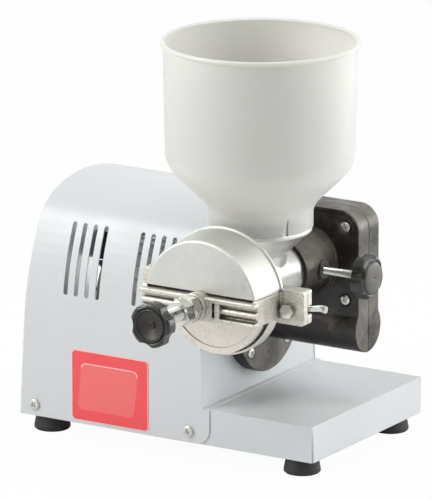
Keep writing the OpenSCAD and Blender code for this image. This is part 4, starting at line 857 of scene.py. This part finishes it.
def hopper_inside(top, curve):
    """The profile from the rim down to the neck's foot, a wall's thickness inside."""
    inner = []
    for k, point in enumerate(curve):
        t = (curve[min(k + 1, CURVE_STEPS)] - curve[max(k - 1, 0)]).normalized()
        inner.append(point + WALL * Vector((-t.y, t.x)))
    side_h = top - NECK_H - SHOULDER_H
    down = [Vector((HOPPER_R - WALL, top + 0.6))]
    for k in range(1, SIDE_STEPS):
        down.append(Vector((HOPPER_R - WALL - DRAFT * k / SIDE_STEPS,
                            top - side_h * k / SIDE_STEPS)))
    down += inner[:0:-1]
    down += [Vector((NECK_R - WALL, NECK_H)), Vector((NECK_R - WALL, NECK_EDGE)),
             Vector((NECK_R - WALL + NECK_EDGE, 0)), Vector((NECK_R - NECK_EDGE, 0))]
    return down


def hopper():
    """The whole hopper, one wall all round, before its notch is cut."""
    top = hopper_hi.z - hopper_lo.z - BEAD_R
    curve, outer = hopper_outside(top)
    bm = bmesh.new()
    revolve(bm, turned((mill_x, hopper_y, hopper_lo.z), UP, FRONT),
            pairs(outer + hopper_bead(top) + hopper_inside(top, curve)), HOPPER_STEPS,
            closed=True)
    return piece("hopper", bm, HOPPER, nodes["hopper"]["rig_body"], "hopper", sharp=40)


def notch_cutter():
    """A tapered bar that cuts the notch in the hopper's neck."""
    out = Vector((math.sin(NOTCH_ANGLE), -math.cos(NOTCH_ANGLE), 0))
    side = Vector((math.cos(NOTCH_ANGLE), math.sin(NOTCH_ANGLE), 0))
    bm = bmesh.new()
    loops = []
    for r in (NECK_R - NOTCH_INSIDE, NECK_R + NOTCH_OUTSIDE):
        loop = []
        for u, v in NOTCH_SHAPE:
            p = Vector((mill_x, hopper_y, hopper_lo.z + v)) + out * r + side * u
            loop.append(bm.verts.new(at(*p)))
        bm.faces.new(loop)
        loops.append(loop)
    bridge(bm, *loops)
    bmesh.ops.recalc_face_normals(bm, faces=bm.faces)
    mesh = bpy.data.meshes.new("notch_cutter")
    bm.to_mesh(mesh)
    bm.free()
    obj = bpy.data.objects.new("notch_cutter", mesh)
    bpy.context.collection.objects.link(obj)
    return obj


def cut_with(obj, cutter):
    """Cuts the cutter out of the object for good and deletes the cutter."""
    cut = obj.modifiers.new("cut", "BOOLEAN")
    cut.object = cutter
    cut.solver = "EXACT"
    depsgraph = bpy.context.evaluated_depsgraph_get()
    mesh = bpy.data.meshes.new_from_object(obj.evaluated_get(depsgraph))
    obj.modifiers.clear()
    obj.data = mesh
    bpy.data.objects.remove(cutter)


hopper_piece = hopper()
cut_with(hopper_piece, notch_cutter())

# ---------------------------------------------------------------- label

RED, PANEL, PALE = 0, 1, 2     # the plate's material slots
PLATE_R = 5
PLATE_EDGE = 0.3          # the bevel round the front
BORDER = 0.9
FIELD_BOTTOM, FIELD_TOP = 13, 14       # the field's distances from the plate's edges
FIELD_LOW_LEFT, FIELD_HIGH_LEFT = 9, 13
FIELD_LOW_RIGHT, FIELD_HIGH_RIGHT = 19, 13
FIELD_SLANT = 1.4         # how far the lower left corner moves sideways for each 1 of inset
FIELD_SINK = 0.2
FIELD_LOOP = 6            # the band before this loop is the field's outline
HIGHLIGHT_LINE_REACH = 26      # from the plate's top; above that the field's outline is pale, a painted highlight


def round_loop(bm, corners, radius, y):
    """A loop of vertices round a shape in the XZ plane, with rounded corners."""
    points = [Vector(corner) for corner in corners]
    out = []
    for k, here in enumerate(points):
        after = points[(k + 1) % len(points)]
        for p in fillet(points[k - 1], here, after, radius, CORNER_STEPS):
            out.append(bm.verts.new(at(p.x, y, p.y)))
    return out


def plate_corners(lo, hi, inset):
    return [(lo.x + inset, lo.z + inset), (lo.x + inset, hi.z - inset),
            (hi.x - inset, hi.z - inset), (hi.x - inset, lo.z + inset)]


def field_corners(lo, hi, inset):
    bottom, top = lo.z + FIELD_BOTTOM + inset, hi.z - FIELD_TOP - inset
    return [(lo.x + FIELD_LOW_LEFT + inset * FIELD_SLANT, bottom),
            (lo.x + FIELD_HIGH_LEFT + inset, top),
            (hi.x - FIELD_HIGH_RIGHT - inset, top),
            (hi.x - FIELD_LOW_RIGHT - inset, bottom)]


def label_plate():
    """A red plate with a pale outline and a plain lighter field, whose top edge has a pale line: a
    painted highlight.
    """
    lo, hi = span("label_plate")
    front, rear = lo.y, hi.y
    bm = bmesh.new()
    # corners, their radius, depth, and the finish of the band that ends at the loop
    outlines = [
        (plate_corners(lo, hi, 0), PLATE_R, rear, PALE),
        (plate_corners(lo, hi, 0), PLATE_R, front + PLATE_EDGE, PALE),
        (plate_corners(lo, hi, PLATE_EDGE), PLATE_R - PLATE_EDGE, front, PALE),
        (plate_corners(lo, hi, BORDER), 4.2, front, PALE),
        (field_corners(lo, hi, -1.7), 6.2, front, RED),
        (field_corners(lo, hi, -1.2), 5.8, front, RED),
        (field_corners(lo, hi, -0.1), 5.0, front + FIELD_SINK, PANEL),
        (field_corners(lo, hi, 0.5), 4.5, front + FIELD_SINK, PANEL),
    ]
    loops = [round_loop(bm, corners, radius, y) for corners, radius, y, _ in outlines]
    highlight_line_z = at(0, 0, hi.z - HIGHLIGHT_LINE_REACH).z
    for k in range(1, len(loops)):
        start = len(bm.faces)
        bridge(bm, loops[k - 1], loops[k])
        bm.faces.ensure_lookup_table()
        for face in bm.faces[start:]:
            face.material_index = outlines[k][3]
            # Painted highlight: the field's outline is pale along its top.
            if k == FIELD_LOOP and face.calc_center_median().z > highlight_line_z:
                face.material_index = PALE
    bm.faces.new(loops[-1]).material_index = PANEL
    bm.faces.new(loops[0]).material_index = PALE
    piece("label_plate", bm, [LABEL_RED, LABEL_PANEL, LABEL_PALE],
          nodes["label_plate"]["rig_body"], "label_plate", sharp=30)


label_plate()

# ---------------------------------------------------------------- stage and light


def stage_plane(name, size, location, material):
    """A square plane that isn't part of the object."""
    mesh = bpy.data.meshes.new(name)
    s = size / 2
    mesh.from_pydata([(-s, -s, 0), (s, -s, 0), (s, s, 0), (-s, s, 0)], [], [(0, 1, 2, 3)])
    mesh.materials.append(material)
    obj = bpy.data.objects.new(name, mesh)
    obj.location = location
    bpy.context.collection.objects.link(obj)
    return obj


def studio_world(color, strength):
    """White to the camera, to gloss and through glass; the given light to the rest."""
    world = bpy.data.worlds.new("studio")
    bpy.context.scene.world = world
    world.use_nodes = True
    new, link = world.node_tree.nodes.new, world.node_tree.links.new
    world.node_tree.nodes.clear()
    path = new("ShaderNodeLightPath")
    seen = path.outputs["Is Camera Ray"]
    for ray in ("Is Glossy Ray", "Is Transmission Ray"):
        either = new("ShaderNodeMath")
        either.operation = "MAXIMUM"
        link(seen, either.inputs[0])
        link(path.outputs[ray], either.inputs[1])
        seen = either.outputs[0]
    light = new("ShaderNodeBackground")
    light.inputs["Color"].default_value = color
    light.inputs["Strength"].default_value = strength
    white = new("ShaderNodeBackground")
    white.inputs["Color"].default_value = WHITE
    mix = new("ShaderNodeMixShader")
    link(seen, mix.inputs["Fac"])
    link(light.outputs[0], mix.inputs[1])
    link(white.outputs[0], mix.inputs[2])
    link(mix.outputs[0], new("ShaderNodeOutputWorld").inputs["Surface"])


def floor_material(shadow):
    """A pale floor; the camera sees it white, with a share of its true shadows."""
    m = Mat("pale_floor", (0.93, 0.93, 0.93, 1), 0.6)
    white = m.node("ShaderNodeEmission")
    seen = m.node("ShaderNodeMath")
    seen.operation = "MULTIPLY"
    seen.inputs[1].default_value = 1 - shadow
    mix = m.node("ShaderNodeMixShader")
    m.link(m.node("ShaderNodeLightPath").outputs["Is Camera Ray"], seen.inputs[0])
    m.link(seen.outputs[0], mix.inputs["Fac"])
    m.link(m.shader.outputs["BSDF"], mix.inputs[1])
    m.link(white.outputs[0], mix.inputs[2])
    m.link(mix.outputs[0], m.tree.nodes["Material Output"].inputs["Surface"])
    return m.material


def aim(obj, location, target, axis):
    """Puts an object at a location, with one of its axes towards the target."""
    obj.location = location
    obj.rotation_mode = "QUATERNION"
    obj.rotation_quaternion = (Vector(target) - Vector(location)).to_track_quat(axis, "Y")


def area_light(name, location, target, size, watts):
    data = bpy.data.lights.new(name, "AREA")
    data.shape = "RECTANGLE"
    data.size, data.size_y = size
    data.energy = watts
    obj = bpy.data.objects.new(name, data)
    aim(obj, location, target, "-Z")
    bpy.context.collection.objects.link(obj)


def dark_card(location, size):
    """A dark screen beside the camera, which doesn't see it. It casts no shadow."""
    card = stage_plane("dark_card", size, location, moulded("card_black", srgb(30, 30, 30), 0.8))
    aim(card, location, (0, 0, 0.2), "Z")
    card.visible_camera = False
    card.visible_shadow = False


studio_world(color=(0.96, 0.98, 1.0, 1), strength=0.34)
stage_plane("floor", 8, (0, 0, 0), floor_material(shadow=0.04))
area_light("key", (-1.3, -1.4, 1.4), target=(0, 0, 0.2), size=(1.2, 1.2), watts=30)
area_light("side", (2.0, 0.7, 1.1), target=(0.1, 0, 0.15), size=(1.4, 1.3), watts=21)
area_light("top", (0.1, 0.4, 2.0), target=(0, 0, 0.2), size=(1.4, 1.4), watts=11)
area_light("low", (1.3, 2.1, 0.4), target=(0.1, 0, 0.2), size=(1.5, 0.8), watts=15)
# A weak lamp inside the cabinet, so that its left vents aren't black
area_light("inside", at(38, 190, 160), target=at(38, 0, 160), size=(0.05, 0.12), watts=0.14)
dark_card((0.95, -1.15, 0.75), size=1.2)
